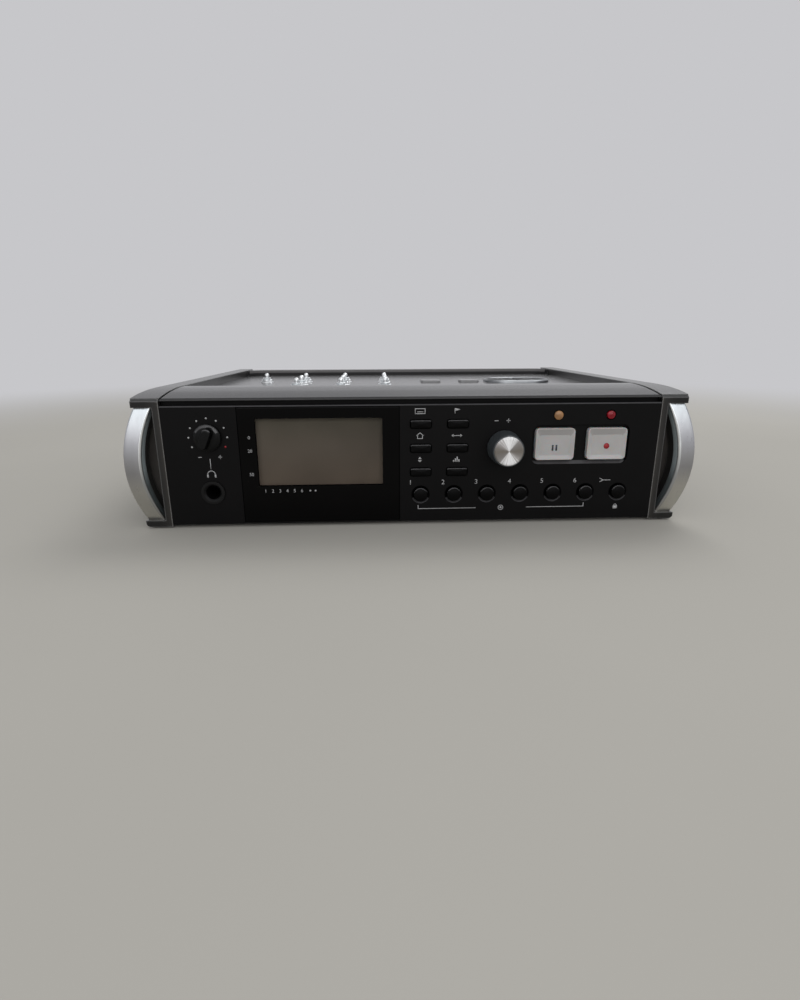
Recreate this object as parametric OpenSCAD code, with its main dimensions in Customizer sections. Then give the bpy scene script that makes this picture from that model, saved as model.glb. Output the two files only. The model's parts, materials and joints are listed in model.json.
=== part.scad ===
// Portable six-input multitrack recorder.
// A pressed tray and a top cover with a sunken control deck sit between two side frames.
// Silver grab bars close the strap notches at the front corners of the side frames.
// The front faces -Y, +X is the user's right, and Z is zero on the ground.

/* [Case] */
// Width over the two side frames, without the grab bars
case_w = 248; // [246:1:262]
// Depth from the front panel to the rear wall
case_d = 192; // [188:1:206]
// Height from the ground to the top of the side rails
case_h = 62.4; // [61.6:0.2:66]
// Sheet thickness of the tray
sheet_t = 1.5; // [1.2:0.1:2]
// Wall thickness of the top cover
wall = 2; // [1.6:0.1:2.4]
// Gap at a seam between two case parts
seam = 0.2; // [0.1:0.05:0.3]
// Height of the feet under the tray
foot_h = 1.8; // [1.5:0.1:2.6]
// Length of a foot from left to right
foot_l = 18; // [14:1:24]
// Width of a foot from front to rear
foot_w = 10; // [8:1:14]
// Distance of a foot's middle from the middle of the case
foot_x = 86; // [80:1:92]
// Distance of a foot's middle from the front or the rear
foot_inset = 12; // [10:1:18]

/* [Top cover] */
// Depth from the front panel to the crest of the brow
brow_d = 31; // [26:1:36]
// Rise of the brow from its front lip to its crest
brow_rise = 3; // [2:0.1:3.4]
// Radius of the fall from the crest down to the deck
fall_r = 14; // [10:1:18]
// Depth of the control deck below the rails
deck_drop = 4.2; // [3.4:0.1:4.8]
// Width of the raised rear rim
rim_w = 8; // [7:0.5:11]
// Drop of the rear rim below the rails
rim_drop = 0.6; // [0.2:0.1:1.2]
// Radius of the deck's rear corners, seen from above
deck_corner_r = 12; // [6:1:16]
// Thickness of the cover's lip at the front
lip_t = 1; // [0.8:0.1:1.4]
// Radius of the brow's ends beside the side frames
brow_end_r = 2; // [1:0.1:2.6]
// Chamfer of the lip's upper front edge
lip_chamfer = 0.6; // [0.3:0.1:0.7]
// Height of the dark groove between lip and front panel
groove_h = 2.2; // [1.6:0.1:2.6]
// Depth of the cover's rear skirt below the deck
skirt_h = 5; // [3:0.5:8]

/* [Side frames] */
// Thickness of a side frame
frame_t = 12; // [11:0.5:14]
// Radius of the outer top edge of a rail
rail_r = 3; // [2:0.5:5]
// Radius of the outer bottom edge of a frame
hem_r = 1.8; // [1:0.1:3]
// Gap between the ground and a side frame
frame_gap = 0.9; // [0.6:0.1:1.3]
// Chamfer of a frame's upper front edge
frame_chamfer = 1.2; // [0.8:0.1:1.6]
// Depth of the strap notch
notch_d = 11.5; // [11.5:0.5:13]
// Radius of the strap notch's rear corners, seen from the side
notch_r = 4; // [3:0.1:4]
// Height of the lip below the strap notch
notch_lip = 3; // [2.4:0.1:4]
// Thickness of the block behind the strap notch
notch_wall = 11.5; // [10:0.5:14]
// Thickness of the cheek beside the front panel
cheek_t = 3; // [2.5:0.1:3.4]
// Height of the lip above the strap notch
top_lip = 6.8; // [6.2:0.1:7.6]
// Height of a frame's foot below its hollow
low_lip = 6; // [5:0.1:7]
// Thickness of the skin round the socket window
skin_t = 5; // [4:0.5:6]
// Border of the socket window at its front and rear
border_d = 6; // [4:0.5:8]
// Border of the socket window above and below
border_h = 3.5; // [2.5:0.5:5]
// Corner radius of the socket window
window_r = 4; // [2:0.5:6]
// Thickness of the post at the rear of a frame
post_t = 6; // [4:0.5:8]
// Length of a screw lug under the tray's edge
lug_l = 14; // [12:1:18]
// Reach of a screw lug over the tray
lug_reach = 12; // [10:1:14]
// Height of a screw lug
lug_h = 4; // [3.5:0.5:6]

/* [Grab bars] */
// Sideways bow of a bar's inner edge
bar_bow = 6.1; // [5:0.1:7]
// Thickness of a bar halfway up
bar_t = 7.7; // [6.8:0.1:8.6]
// Thickness of a bar at its ends
bar_end_t = 8; // [6.5:0.1:8.4]
// Gap between a bar's ends and the cheek
bar_gap = 0.4; // [0.2:0.1:0.8]
// Forward swell of a bar's front face
bar_swell = 4; // [2.5:0.1:5]
// Setback of the front face at a bar's ends
bar_set = 1.5; // [0.5:0.1:1.8]
// Depth of a bar from its front face to its rear face
bar_d = 5.3; // [4.6:0.1:5.6]
// Depth of the frame's rib behind a grab bar
rib_d = 5.5; // [4.5:0.1:6]
// Step between a grab bar's sides and the rib
rib_step = 0.6; // [0.3:0.1:1]

/* [Front panel] */
// Thickness of the front panel
panel_t = 3; // [2.6:0.1:3.4]
// Chamfer of the panel's upper edge
panel_chamfer = 0.5; // [0.3:0.1:0.7]
// Thickness of the tongue that stands under the cover's lip
tongue_t = 2; // [1.6:0.1:2.4]
// Distance of the panel's board posts from the middle of the case
board_post_x = 104.5; // [102:0.5:106]
// Radius of the panel's board posts
board_post_r = 2.2; // [1.8:0.1:2.6]
// Middle of the display window from the middle of the case
window_x = -42.8; // [-44:0.1:-42]
// Width of the display window
window_w = 71.8; // [70:0.1:73]
// Rim of the panel above and below the display window
window_rim = 0.8; // [0.6:0.1:1.4]
// Thickness of the display window
window_t = 2; // [1.6:0.1:2]
// Gap round the display window
window_gap = 0.15; // [0.1:0.05:0.25]
// Width of the visible display
lcd_w = 56.6; // [54:0.2:60]
// Height of the visible display
lcd_h = 30.8; // [29:0.2:32]
// Height of the display's middle above the ground
lcd_z = 35; // [34.5:0.1:35.5]
// Border of the display module round its glass
lcd_border = 2.4; // [1.5:0.1:2.6]

/* [Keys] */
// Travel of a pressed key
key_travel = 0.8; // [0.5:0.1:1]
// Gap between a key and its hole
key_gap = 0.3; // [0.25:0.05:0.4]
// Overhang of a key's retaining flange
flange_w = 1; // [0.8:0.1:1.2]
// Thickness of a key's retaining flange
flange_t = 1; // [0.8:0.1:1.2]
// Gap between a retaining flange and the wall before it
flange_gap = 0.2; // [0.15:0.05:0.3]
// Radius of a key's stem
stem_r = 1.5; // [1.2:0.1:1.8]
// Gap left between a pressed stem and its switch
press_gap = 0.1; // [0.05:0.05:0.2]
// Height of a key switch over its board
switch_h = 4; // [3.5:0.1:4.5]
// Side of a key switch
switch_w = 6; // [5:0.5:7]
// Depth of the front board behind the front face
board_d = 13; // [12.5:0.1:14]
// Thickness of a circuit board
board_t = 1.6; // [1.2:0.1:2]
// Width of a function key
fkey_w = 9.4; // [8.6:0.1:10]
// Height of a function key
fkey_h = 3.6; // [3.2:0.1:4]
// Height of a function key over the panel
fkey_out = 1.3; // [1:0.1:1.6]
// Radius of a function key's rounded face
fkey_crown_r = 4; // [3:0.5:6]
// Left column of function keys from the middle of the case
fkey_x = 2.8; // [2:0.1:3.4]
// Pitch of the function key columns
fkey_pitch_x = 16.7; // [15:0.1:17.2]
// Height of the lowest function key row
fkey_z = 25.3; // [25:0.1:25.8]
// Pitch of the function key rows
fkey_pitch_z = 11; // [10.6:0.1:11.2]
// Radius of a track key
track_r = 3.25; // [3:0.05:3.5]
// Height of a track key over the panel
track_out = 1.6; // [1.2:0.1:2]
// Radius of a track key's domed face
track_dome_r = 9; // [7:0.5:12]
// Radius of the chamfered ring round a track key
track_ring_r = 4.3; // [4.1:0.05:4.6]
// First track key from the middle of the case
track_x = 2.8; // [2.4:0.1:3.2]
// Pitch of the track keys
track_pitch = 15.5; // [15.2:0.05:15.7]
// Height of the track keys above the ground
track_z = 14.6; // [14:0.1:15]
// Width of the pause and record keys
big_w = 18; // [17:0.1:19]
// Height of the pause and record keys
big_h = 14.6; // [14:0.1:15.4]
// Corner radius of the pause and record keys
big_r = 2; // [1.4:0.1:2.6]
// Height of the pause and record keys over the panel
big_out = 1; // [0.8:0.1:1.6]
// Width of the rim round a pause or record key's face
big_rim = 0.5; // [0.3:0.1:0.8]
// Depth of the face below that rim
big_dish = 0.7; // [0.5:0.1:0.9]
// Width of the sloping borders beside and below the face
big_border = 1.5; // [1.2:0.1:2]
// Width of the sloping border above the face
big_border_top = 2.6; // [2:0.1:3]
// Middle of the pause key from the middle of the case
pause_x = 64.1; // [63.8:0.1:64.6]
// Pitch from the pause key to the record key
big_pitch = 24; // [23.4:0.1:24.4]
// Height of the pause and record keys' middle
big_z = 37.6; // [37:0.1:38]
// Depth of the recess round the pause and record keys
recess_t = 1.2; // [0.8:0.1:1.4]
// Width of that recess beside and above the keys
recess_side = 1.4; // [1.2:0.1:1.8]
// Width of that recess below the keys
recess_low = 2; // [1.8:0.1:2.2]
// Depth of the slope at the recess's lower side
recess_slope = 1.4; // [1:0.1:1.5]
// Radius of the status lamps
led_r = 2.1; // [1.6:0.1:2.2]
// Height of the status lamps above the ground
led_z = 50.7; // [50.4:0.1:51]
// Shift of the status lamps from the keys' middles
led_shift = 1; // [0:0.1:1.4]
// Height of a status lamp over the panel
led_out = 0.8; // [0.5:0.1:1]

/* [Knob and dial] */
// Radius of the shafts of knob and dial
shaft_r = 3; // [2.5:0.1:3.2]
// Running clearance of a shaft in its bush
run_gap = 0.05; // [0.02:0.01:0.09]
// Radius of a shaft bush
bush_r = 3.9; // [3.7:0.1:4.2]
// Gap between a bush and the panel
bush_gap = 0.2; // [0.1:0.05:0.3]
// Setback of a bush behind the front face
bush_set = 1; // [0.6:0.1:1.6]
// Side of the control bodies behind the panel
control_w = 14; // [12:0.5:15]
// Height of the control bodies over their board
control_h = 7.5; // [7:0.1:8]
// Wall left over a shaft's end
shaft_end_t = 1; // [0.8:0.1:1.2]
// Gap between knob or dial and the panel
knob_gap = 0.6; // [0.4:0.1:1]
// Phones knob from the middle of the case
knob_x = -92; // [-93:0.1:-91.6]
// Height of the phones knob above the ground
knob_z = 42.3; // [41.6:0.1:42.6]
// Radius of the phones knob
knob_r = 6; // [5.6:0.1:6.6]
// Thickness of the knob's disc
knob_disc = 2.8; // [2.6:0.1:3.4]
// Height of the knob's grip over the panel
knob_h = 6.8; // [6.2:0.1:8]
// Width of the knob's grip
grip_w = 4.2; // [3.6:0.1:4.8]
// Setback of the grip's ends from the disc's edge
grip_set = 1.4; // [1:0.1:1.8]
// Turn of the grip at rest, from upright to the right
knob_turn = 24; // [0:1:60]
// Value dial from the middle of the case
dial_x = 40.8; // [40.2:0.1:41.4]
// Height of the value dial above the ground
dial_z = 36.4; // [36:0.1:37]
// Radius of the dial at the panel
dial_r = 7.9; // [7.6:0.1:8.4]
// Radius of the dial at its face
dial_top_r = 7.4; // [7.2:0.1:7.6]
// Height of the dial's face over the panel
dial_h = 10.5; // [10:0.1:12]
// Radius of the metal cap on the dial
cap_r = 6.6; // [6:0.1:6.8]
// Thickness of the metal cap
cap_t = 1.4; // [1:0.1:1.8]
// Height of the metal cap over the dial's rim
cap_out = 0.5; // [0.3:0.1:0.7]

/* [Control deck] */
// Left column of the front toggle switches from the middle of the case
toggle_x = -61; // [-62:0.5:-60]
// Pitch of the toggle columns
toggle_pitch_x = 24.5; // [23.5:0.1:25]
// Depth of the first toggle row behind the front
toggle_d = 66; // [64:0.5:70]
// Pitch of the toggle rows
toggle_pitch_d = 22; // [20:0.5:24]
// Tilt of a toggle lever from upright
toggle_tilt = 12; // [9:0.5:14]
// Height of a toggle lever over the deck
lever_h = 5.7; // [5.2:0.1:6.6]
// Radius of a toggle lever's tip
lever_r = 1.3; // [1:0.05:1.4]
// Radius of a toggle lever at its pivot
lever_neck_r = 0.85; // [0.7:0.05:1]
// Radius of a toggle lever's ball
ball_r = 1.6; // [1.4:0.05:1.7]
// Gap round a toggle lever's ball
ball_gap = 0.3; // [0.25:0.05:0.35]
// Height of a toggle pivot over the deck
pivot_h = 0.6; // [0.4:0.1:0.8]
// Radius of a toggle bush
toggle_bush_r = 2.6; // [2.5:0.1:2.8]
// Height of a toggle bush over the deck
toggle_bush_h = 2.8; // [2.4:0.1:3]
// Radius of a toggle's washer
washer_r = 4; // [3.8:0.1:4.6]
// Thickness of a toggle's washer
washer_t = 0.4; // [0.3:0.1:0.6]
// Corner radius of a toggle's nut
nut_r = 3.6; // [3.2:0.1:3.8]
// Height of a toggle's nut
nut_h = 1.4; // [1.2:0.1:1.8]
// Width of a toggle body under the deck
toggle_w = 7; // [6:0.5:8]
// Length of a toggle body under the deck
toggle_l = 9; // [8:0.5:11]
// Height of a toggle body under the deck
toggle_h = 9; // [7:0.5:11]
// First flat deck key from the middle of the case
flat_x = 17; // [15:0.5:18]
// Pitch of the flat deck keys
flat_pitch = 24; // [22:0.5:24]
// Depth of the flat deck keys behind the front
flat_d = 106; // [102:0.5:110]
// Width of a flat deck key
flat_w = 12; // [10:0.5:13]
// Length of a flat deck key
flat_l = 8; // [7:0.5:10]
// Height of the deck keys over the deck
deck_key_out = 1.2; // [0.8:0.1:1.6]
// Middle of the transport keys from the middle of the case
pad_x = 71; // [70.5:0.5:73]
// Depth of the transport keys' middle behind the front
pad_d = 106; // [102:0.5:110]
// Width of the trim ring round the transport keys
pad_w = 40; // [38:0.5:42]
// Length of the trim ring round the transport keys
pad_l = 30; // [28:0.5:32]
// Corner radius of the trim ring
pad_r = 13; // [10:0.5:13]
// Width of the trim ring's metal
pad_rim = 2; // [1.5:0.1:2.5]
// Height of the trim ring over the deck
pad_h = 1.6; // [1.2:0.1:2]
// Gap between two transport keys
pad_split = 1.4; // [1.2:0.1:1.8]
// Depth of the deck board under the deck
deck_board_d = 8; // [7.4:0.1:9]

/* [Sockets] */
// Thickness of a jack plate
plate_t = 2; // [1.6:0.1:2.4]
// Gap round a jack plate in its frame
plate_gap = 0.2; // [0.1:0.05:0.3]
// Height of the middle line of the sockets
socket_z = 31.5; // [31:0.5:32]
// Radius of a quarter-inch socket's bore
jack_bore_r = 3.25; // [3.2:0.01:3.35]
// Depth of a quarter-inch socket's bore behind its panel
jack_bore_d = 24; // [22:0.5:26]
// Radius of a quarter-inch socket's bush
jack_bush_r = 4.6; // [4.4:0.1:5]
// Radius of a quarter-inch socket's flange
jack_flange_r = 5.3; // [5.1:0.1:5.8]
// Height of a quarter-inch socket's flange over its panel
jack_flange_t = 0.8; // [0.6:0.1:1.2]
// Radius of the chamfered mouth of a quarter-inch socket
jack_mouth_r = 4.1; // [3.8:0.1:4.3]
// Side of a quarter-inch socket's body
jack_body_w = 12.6; // [11.5:0.1:13]
// End wall of a quarter-inch socket's body
jack_end_t = 2; // [1.5:0.1:3]
// Gap between a socket and the hole it stands in
socket_gap = 0.2; // [0.1:0.05:0.3]
// Height of the phones socket above the ground
phones_z = 17; // [16.8:0.1:17.4]
// Depth of the first combination socket behind the front
combo_d = 46; // [45:0.5:48]
// Pitch of the combination sockets
combo_pitch = 28.5; // [27.5:0.5:29]
// Width of a combination socket's flange
combo_w = 26; // [25:0.5:27]
// Height of a combination socket's flange
combo_h = 31; // [29:0.5:33]
// Radius of a combination socket's barrel
combo_r = 11.8; // [11.5:0.1:12]
// Radius of a combination socket's outer bore
combo_bore_r = 9.8; // [9.6:0.1:10]
// Radius of a combination socket's insert
insert_r = 7.7; // [7.6:0.05:7.9]
// Depth of a combination socket's barrel behind its plate
combo_depth = 31; // [30:0.5:33]
// Radius of a contact hole in the insert
contact_r = 1.3; // [1.1:0.05:1.4]
// Radius of the circle of contact holes
contact_ring_r = 5.4; // [5.2:0.05:5.6]
// Depth of the column of line sockets behind the front
line_d = 164; // [163:0.5:166]
// Height between the two line sockets
line_pitch = 19; // [17:0.5:21]
// Radius of a phono socket's barrel
phono_r = 4.15; // [4:0.05:4.2]
// Reach of a phono socket's barrel over its plate
phono_out = 9.4; // [8.5:0.1:10.5]
// Radius of a phono socket's contact hole
phono_bore_r = 1.6; // [1.5:0.05:1.7]
// Radius of a phono socket's flange
phono_flange_r = 5.4; // [5:0.1:6]
// Thickness of a phono socket's flange
phono_flange_t = 1.4; // [1:0.1:1.8]
// Depth of the first phono socket behind the front
phono_d = 92; // [90:0.5:95]
// Pitch of the phono sockets
phono_pitch = 20; // [16:0.5:22]
// Height between the two rows of phono sockets
phono_row = 19; // [16:0.5:21]
// Depth of the power inlet behind the front
inlet_d = 66; // [65:0.5:70]
// Height of the power inlet above the ground
inlet_z = 22; // [21:0.5:23]
// Radius of the power inlet's bore
inlet_r = 2.8; // [2.6:0.05:2.9]
// Depth of the data port behind the front
port_d = 46; // [44:0.5:48]
// Width of the data port's opening
port_w = 7.7; // [7.2:0.1:8]
// Height of the data port's opening
port_h = 3.2; // [2.8:0.1:3.6]
// Depth of the card slot's middle behind the front
card_d = 50; // [48:0.5:52]
// Height of the card slot above the ground
card_z = 43; // [42:0.5:44]
// Width of the card slot
card_w = 24.6; // [24.2:0.1:25]
// Height of the card slot
card_h = 2.6; // [2.3:0.1:3]
// Width of the card door
door_w = 32; // [30:0.5:34]
// Height of the card door from its pin
door_h = 12.4; // [11:0.2:13]
// Thickness of the card door
door_t = 1.4; // [1:0.1:1.6]
// Radius of the card door's knuckle
knuckle_r = 1.1; // [1:0.05:1.2]
// Radius of the card door's pin
pin_r = 0.5; // [0.4:0.05:0.6]
// Length of the card door's pin ends in their ears
pin_l = 1.3; // [1:0.1:1.5]
// Height of the card door's pin over its plate
pin_h = 1.6; // [1.5:0.05:2]

/* [Power] */
// Radius of a battery cell
cell_r = 7.25; // [7:0.05:7.3]
// Length of a battery cell
cell_l = 50.5; // [49:0.1:50.8]
// Pitch of the cells from front to rear
cell_pitch = 15; // [14.8:0.1:15.4]
// Depth of the battery bay behind the front
bay_d = 58; // [56:0.5:66]
// Wall of the battery box
bay_wall = 1.6; // [1.2:0.1:2]
// Gap between the cells and their box
cell_gap = 0.6; // [0.4:0.1:1]
// Gap round the battery door
door_gap = 0.3; // [0.25:0.05:0.4]
// Ledge of the battery box that the door rests against
door_ledge = 1.2; // [1:0.1:2]
// Width of a finger groove across the battery door
groove_w = 1.4; // [1:0.1:2]
// Depth of a finger groove
groove_t = 0.6; // [0.4:0.1:0.8]
// Length of a finger groove
groove_l = 24; // [18:1:30]
// Height of the main board above the ground
main_z = 28; // [26:0.5:32]
// Width of the main board
main_w = 156; // [150:1:158]
// Radius of the main board's posts
main_post_r = 3; // [2.5:0.1:4]
// Distance of a main board post from the board's edge
main_post_in = 6; // [5:0.5:8]
// Radius of a case screw's head
screw_r = 2.6; // [2.2:0.1:3]
// Height of a case screw's head
screw_h = 1.1; // [0.9:0.1:1.3]
// Radius of a case screw's shank
shank_r = 1.4; // [1.2:0.05:1.5]
// Gap round a case screw's shank
shank_gap = 0.1; // [0.05:0.05:0.2]

/* [Hidden] */
$fn = 48;
// overlap of a cutting body past the face it cuts
cut = 1;
// places of the case's main faces
front_y = (dial_h - case_d) / 2;
rear_y = front_y + case_d;
half_w = case_w / 2;
inner_x = half_w - frame_t;
skin_x = inner_x - seam;
plate_x = half_w - skin_t;
floor_z = foot_h + sheet_t;
deck_z = case_h - deck_drop;
under_z = deck_z - wall;
rim_z = case_h - rim_drop;
lip_z = case_h - brow_rise - lip_t;
panel_z = lip_z - groove_h;
skirt_z = under_z - skirt_h;
notch_low = frame_gap + low_lip;
notch_high = case_h - top_lip;
notch_floor = frame_gap + notch_lip;
notch_h = notch_high - notch_floor;
hollow_d = notch_d + notch_wall;
hollow_l = case_d - post_t - hollow_d;
window_z = (notch_low + notch_high) / 2;
// radii of arcs from half their chord and their height
function arc_r(half, rise) = (half * half + rise * rise) / (2 * rise);
brow_r = arc_r(brow_d, brow_rise);
bar_half = notch_h / 2;
bar_z = notch_floor + bar_half;
bar_in_r = arc_r(bar_half, bar_bow);
bar_out_r = arc_r(bar_half, bar_bow + bar_t - bar_end_t);
bar_swell_r = arc_r(bar_half, bar_swell);
bar_mid_x = inner_x + cheek_t + bar_gap + bar_bow;
// display window, its opening and its module
window_low = foot_h + window_rim;
window_high = panel_z - window_rim;
lcd_step = 0.8;
// depth of a key's parts behind the wall that it stands in
flange_back = panel_t + flange_gap + flange_t;
stem_end = board_d - switch_h - key_travel - press_gap;
deck_flange_back = wall + flange_gap + flange_t;
deck_stem_end = wall + deck_board_d - switch_h - key_travel - press_gap;
plunger_h = 1;
plunger_r = 1.7;
fkey_r = 0.9;
big_stem_r = 2;
big_x = pause_x + big_pitch;
recess_r = big_r + recess_side;
recess_w = big_pitch + big_w + 2 * recess_side;
recess_h = big_h + recess_side + recess_low;
// turned-up edges of the tray along the side frames
edge_h = 2 * low_lip;
// front board between the tray's flange and the cover's lip
board_half_w = board_post_x + board_post_r + cut;
board_low = floor_z + low_lip;
board_high = panel_z - tongue_t;
board_post_low = board_low + board_post_r;
board_post_high = board_high - board_post_r;
// main board over the battery box, clear of the front controls and the rear wall
main_front = 22;
main_rear = 18;
main_d0 = hollow_d + main_front;
main_d1 = case_d - main_rear;
main_post_x = main_w / 2 - main_post_in;
// deck board, which reaches past its keys to carry its posts
deck_board_side = 8;
deck_board_x0 = flat_x - flat_w / 2 - deck_board_side;
deck_board_x1 = pad_x + pad_w / 2 + deck_board_side;
// battery bay: two columns of four cells over a door that lifts out downwards
bay_w = 2 * cell_l + 3 * cell_gap;
bay_l = 4 * cell_pitch + 2 * cell_gap;
bay_door_w = bay_w + 2 * door_ledge;
bay_door_l = bay_l + 2 * door_ledge;
bay_cut_w = bay_door_w + 2 * door_gap;
bay_cut_l = bay_door_l + 2 * door_gap;
bay_mid = bay_d + bay_cut_l / 2;
bay_high = floor_z + 2 * cell_r + 2 * cell_gap;
cell_z = floor_z + cell_gap / 2 + cell_r;
// screw lugs of the side frames
lug_z = floor_z + seam;
lug_places = [hollow_d + lug_l, case_d - post_t - lug_l];
lug_screw_x = inner_x - lug_reach / 2;
// card door's pin, below the slot
door_pin_z = card_z - door_h / 2 - pin_h / 2;
// control deck
toggle_places = concat(
    [for (row = [0 : 2], col = [0 : 2]) [toggle_x + col * toggle_pitch_x, toggle_d + row * toggle_pitch_d]],
    [[toggle_x - toggle_pitch_x, toggle_d + 2 * toggle_pitch_d]]);
pad_keys = ["rewind_key", "forward_key", "stop_key", "play_key"];
pad_sides = [[-1, 1], [1, 1], [-1, -1], [1, -1]];
flat_keys = ["power_key", "menu_key"];
fkey_places = [for (row = [2 : -1 : 0], col = [0, 1])
    [fkey_x + col * fkey_pitch_x, fkey_z + row * fkey_pitch_z]];
track_count = 7;
track_places = [for (i = [0 : track_count - 1]) [track_x + i * track_pitch, track_z]];
led_places = [[pause_x + led_shift, led_z], [big_x + led_shift, led_z]];
big_places = [[pause_x, big_z], [big_x, big_z]];
function fkey_name(i) = str("function_key_", i + 1);
function track_name(i) = i < track_count - 1 ? str("track_key_", i + 1) : "mix_key";
function lever_name(i) = str("toggle_lever_", i + 1);

case_black = [0.07, 0.07, 0.08];
cover_grey = [0.25, 0.25, 0.27];
frame_grey = [0.3, 0.31, 0.3];
silver = [0.75, 0.76, 0.78];
key_white = [0.88, 0.88, 0.86];
board_green = [0.1, 0.3, 0.18];

// Rectangle with round corners about the origin
module round_rect(w, h, r) {
    square([w - 2 * r, h], center = true);
    square([w, h - 2 * r], center = true);
    for (sx = [-1, 1], sy = [-1, 1])
        translate([sx * (w / 2 - r), sy * (h / 2 - r)]) circle(r);
}

// Places on the front panel: X right, Y up, Z out of the panel
module on_panel(x, z) {
    translate([x, front_y, z]) rotate([90, 0, 0]) children();
}

// Places on the control deck: Z out of the deck
module on_deck(x, d) {
    translate([x, front_y + d, deck_z]) children();
}

// Places on the right jack plate: X to the rear, Y up, Z out of the plate
module on_right(d, z) {
    translate([plate_x, front_y + d, z]) rotate([90, 0, 90]) children();
}

// The same place on the left jack plate
module on_left(d, z) {
    mirror([1, 0, 0]) on_right(d, z) children();
}

// Sweeps a side view, drawn as depth and height, from one X to another
module across(x0, x1) {
    translate([x0, front_y, 0]) rotate([90, 0, 90]) linear_extrude(x1 - x0) children();
}

// Sweeps a front view, drawn as X and height, from one depth to another
module along(d0, d1) {
    translate([0, front_y + d1, 0]) rotate([90, 0, 0]) linear_extrude(d1 - d0) children();
}

// Side view of the brow's front arc, lowered by an inset, down to a base height
module brow_front(inset, base_z) {
    intersection() {
        translate([brow_d, case_h - brow_r]) circle(brow_r - inset, $fn = 180);
        translate([inset, base_z]) square([brow_d - inset, case_h - base_z]);
    }
}

// Side view of the corner that a chamfer takes off the brow's upper front edge
module front_corner(size) {
    translate([0, case_h - brow_rise]) rotate(45) square(size * sqrt(2), center = true);
}

// Ring that rounds the brow's right end, turned about the axis of the brow's arc
module brow_end() {
    intersection() {
        translate([0, front_y + brow_d, case_h - brow_r]) rotate([0, 90, 0])
            rotate_extrude($fn = 180) difference() {
                translate([brow_r - brow_end_r, skin_x - brow_end_r]) square(brow_end_r + cut);
                translate([brow_r - brow_end_r + seam / 4, skin_x - brow_end_r + seam / 4])
                    circle(brow_end_r);
            }
        translate([skin_x - brow_end_r - cut, front_y - cut, skirt_z])
            cube([brow_end_r + 3 * cut, brow_d + fall_r + cut, case_h]);
    }
}

// Side view of the whole cover, lowered by an inset: brow, fall, deck and rear rim
module cover_side(inset, base_z) {
    brow_front(inset, base_z);
    intersection() {
        translate([brow_d, case_h - fall_r]) circle(fall_r - inset);
        translate([brow_d, base_z]) square([fall_r, case_h - base_z]);
    }
    translate([brow_d, base_z]) square([case_d - brow_d - inset, deck_z - inset - base_z]);
    translate([case_d - rim_w + inset, base_z]) square([rim_w - 2 * inset, rim_z - inset - base_z]);
}

// Quarter of the transport pad, grown by a margin, on the given sides
module pad_quarter(side, grow, split) {
    intersection() {
        round_rect(pad_w - 2 * pad_rim - 2 * key_gap + 2 * grow,
                   pad_l - 2 * pad_rim - 2 * key_gap + 2 * grow,
                   pad_r - pad_rim - key_gap + grow);
        translate([side[0] * (pad_w + split) / 2, side[1] * (pad_l + split) / 2])
            square([pad_w, pad_l], center = true);
    }
}

// Quarter-inch socket whose flange rests on the face at Z zero of a panel
module jack_socket(panel) {
    difference() {
        union() {
            cylinder(r = jack_flange_r, h = jack_flange_t);
            translate([0, 0, -panel]) cylinder(r = jack_bush_r, h = panel + jack_flange_t);
            translate([-jack_body_w / 2, -jack_body_w / 2, -jack_bore_d - jack_end_t])
                cube([jack_body_w, jack_body_w, jack_bore_d + jack_end_t - panel]);
        }
        translate([0, 0, -jack_bore_d]) cylinder(r = jack_bore_r, h = jack_bore_d + jack_flange_t + cut);
        cylinder(r1 = jack_bore_r, r2 = jack_mouth_r, h = jack_flange_t);
        translate([0, 0, jack_flange_t]) cylinder(r = jack_mouth_r, h = cut);
    }
}

// Body with a shaft bush that stands on the front board
module control_body() {
    difference() {
        union() {
            translate([-control_w / 2, -control_w / 2, -board_d]) cube([control_w, control_w, control_h]);
            translate([0, 0, -board_d]) cylinder(r = bush_r, h = board_d - bush_set);
        }
        translate([0, 0, -board_d + sheet_t]) cylinder(r = shaft_r + run_gap, h = board_d);
    }
}

// Shaft from a control body to the given height over the panel
module control_shaft(top) {
    translate([0, 0, -board_d + sheet_t + flange_gap])
        cylinder(r = shaft_r, h = board_d - sheet_t - flange_gap + top);
}

// Key switch on a board face at the given height
module key_switch(face) {
    translate([-switch_w / 2, -switch_w / 2, face]) cube([switch_w, switch_w, switch_h - plunger_h]);
    translate([0, 0, face]) cylinder(r = plunger_r, h = switch_h);
}

// Block about the middle of the battery bay, from one height to another
module bay_block(w, l, z0, z1) {
    translate([-w / 2, front_y + bay_mid - l / 2, z0]) cube([w, l, z1 - z0]);
}

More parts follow.
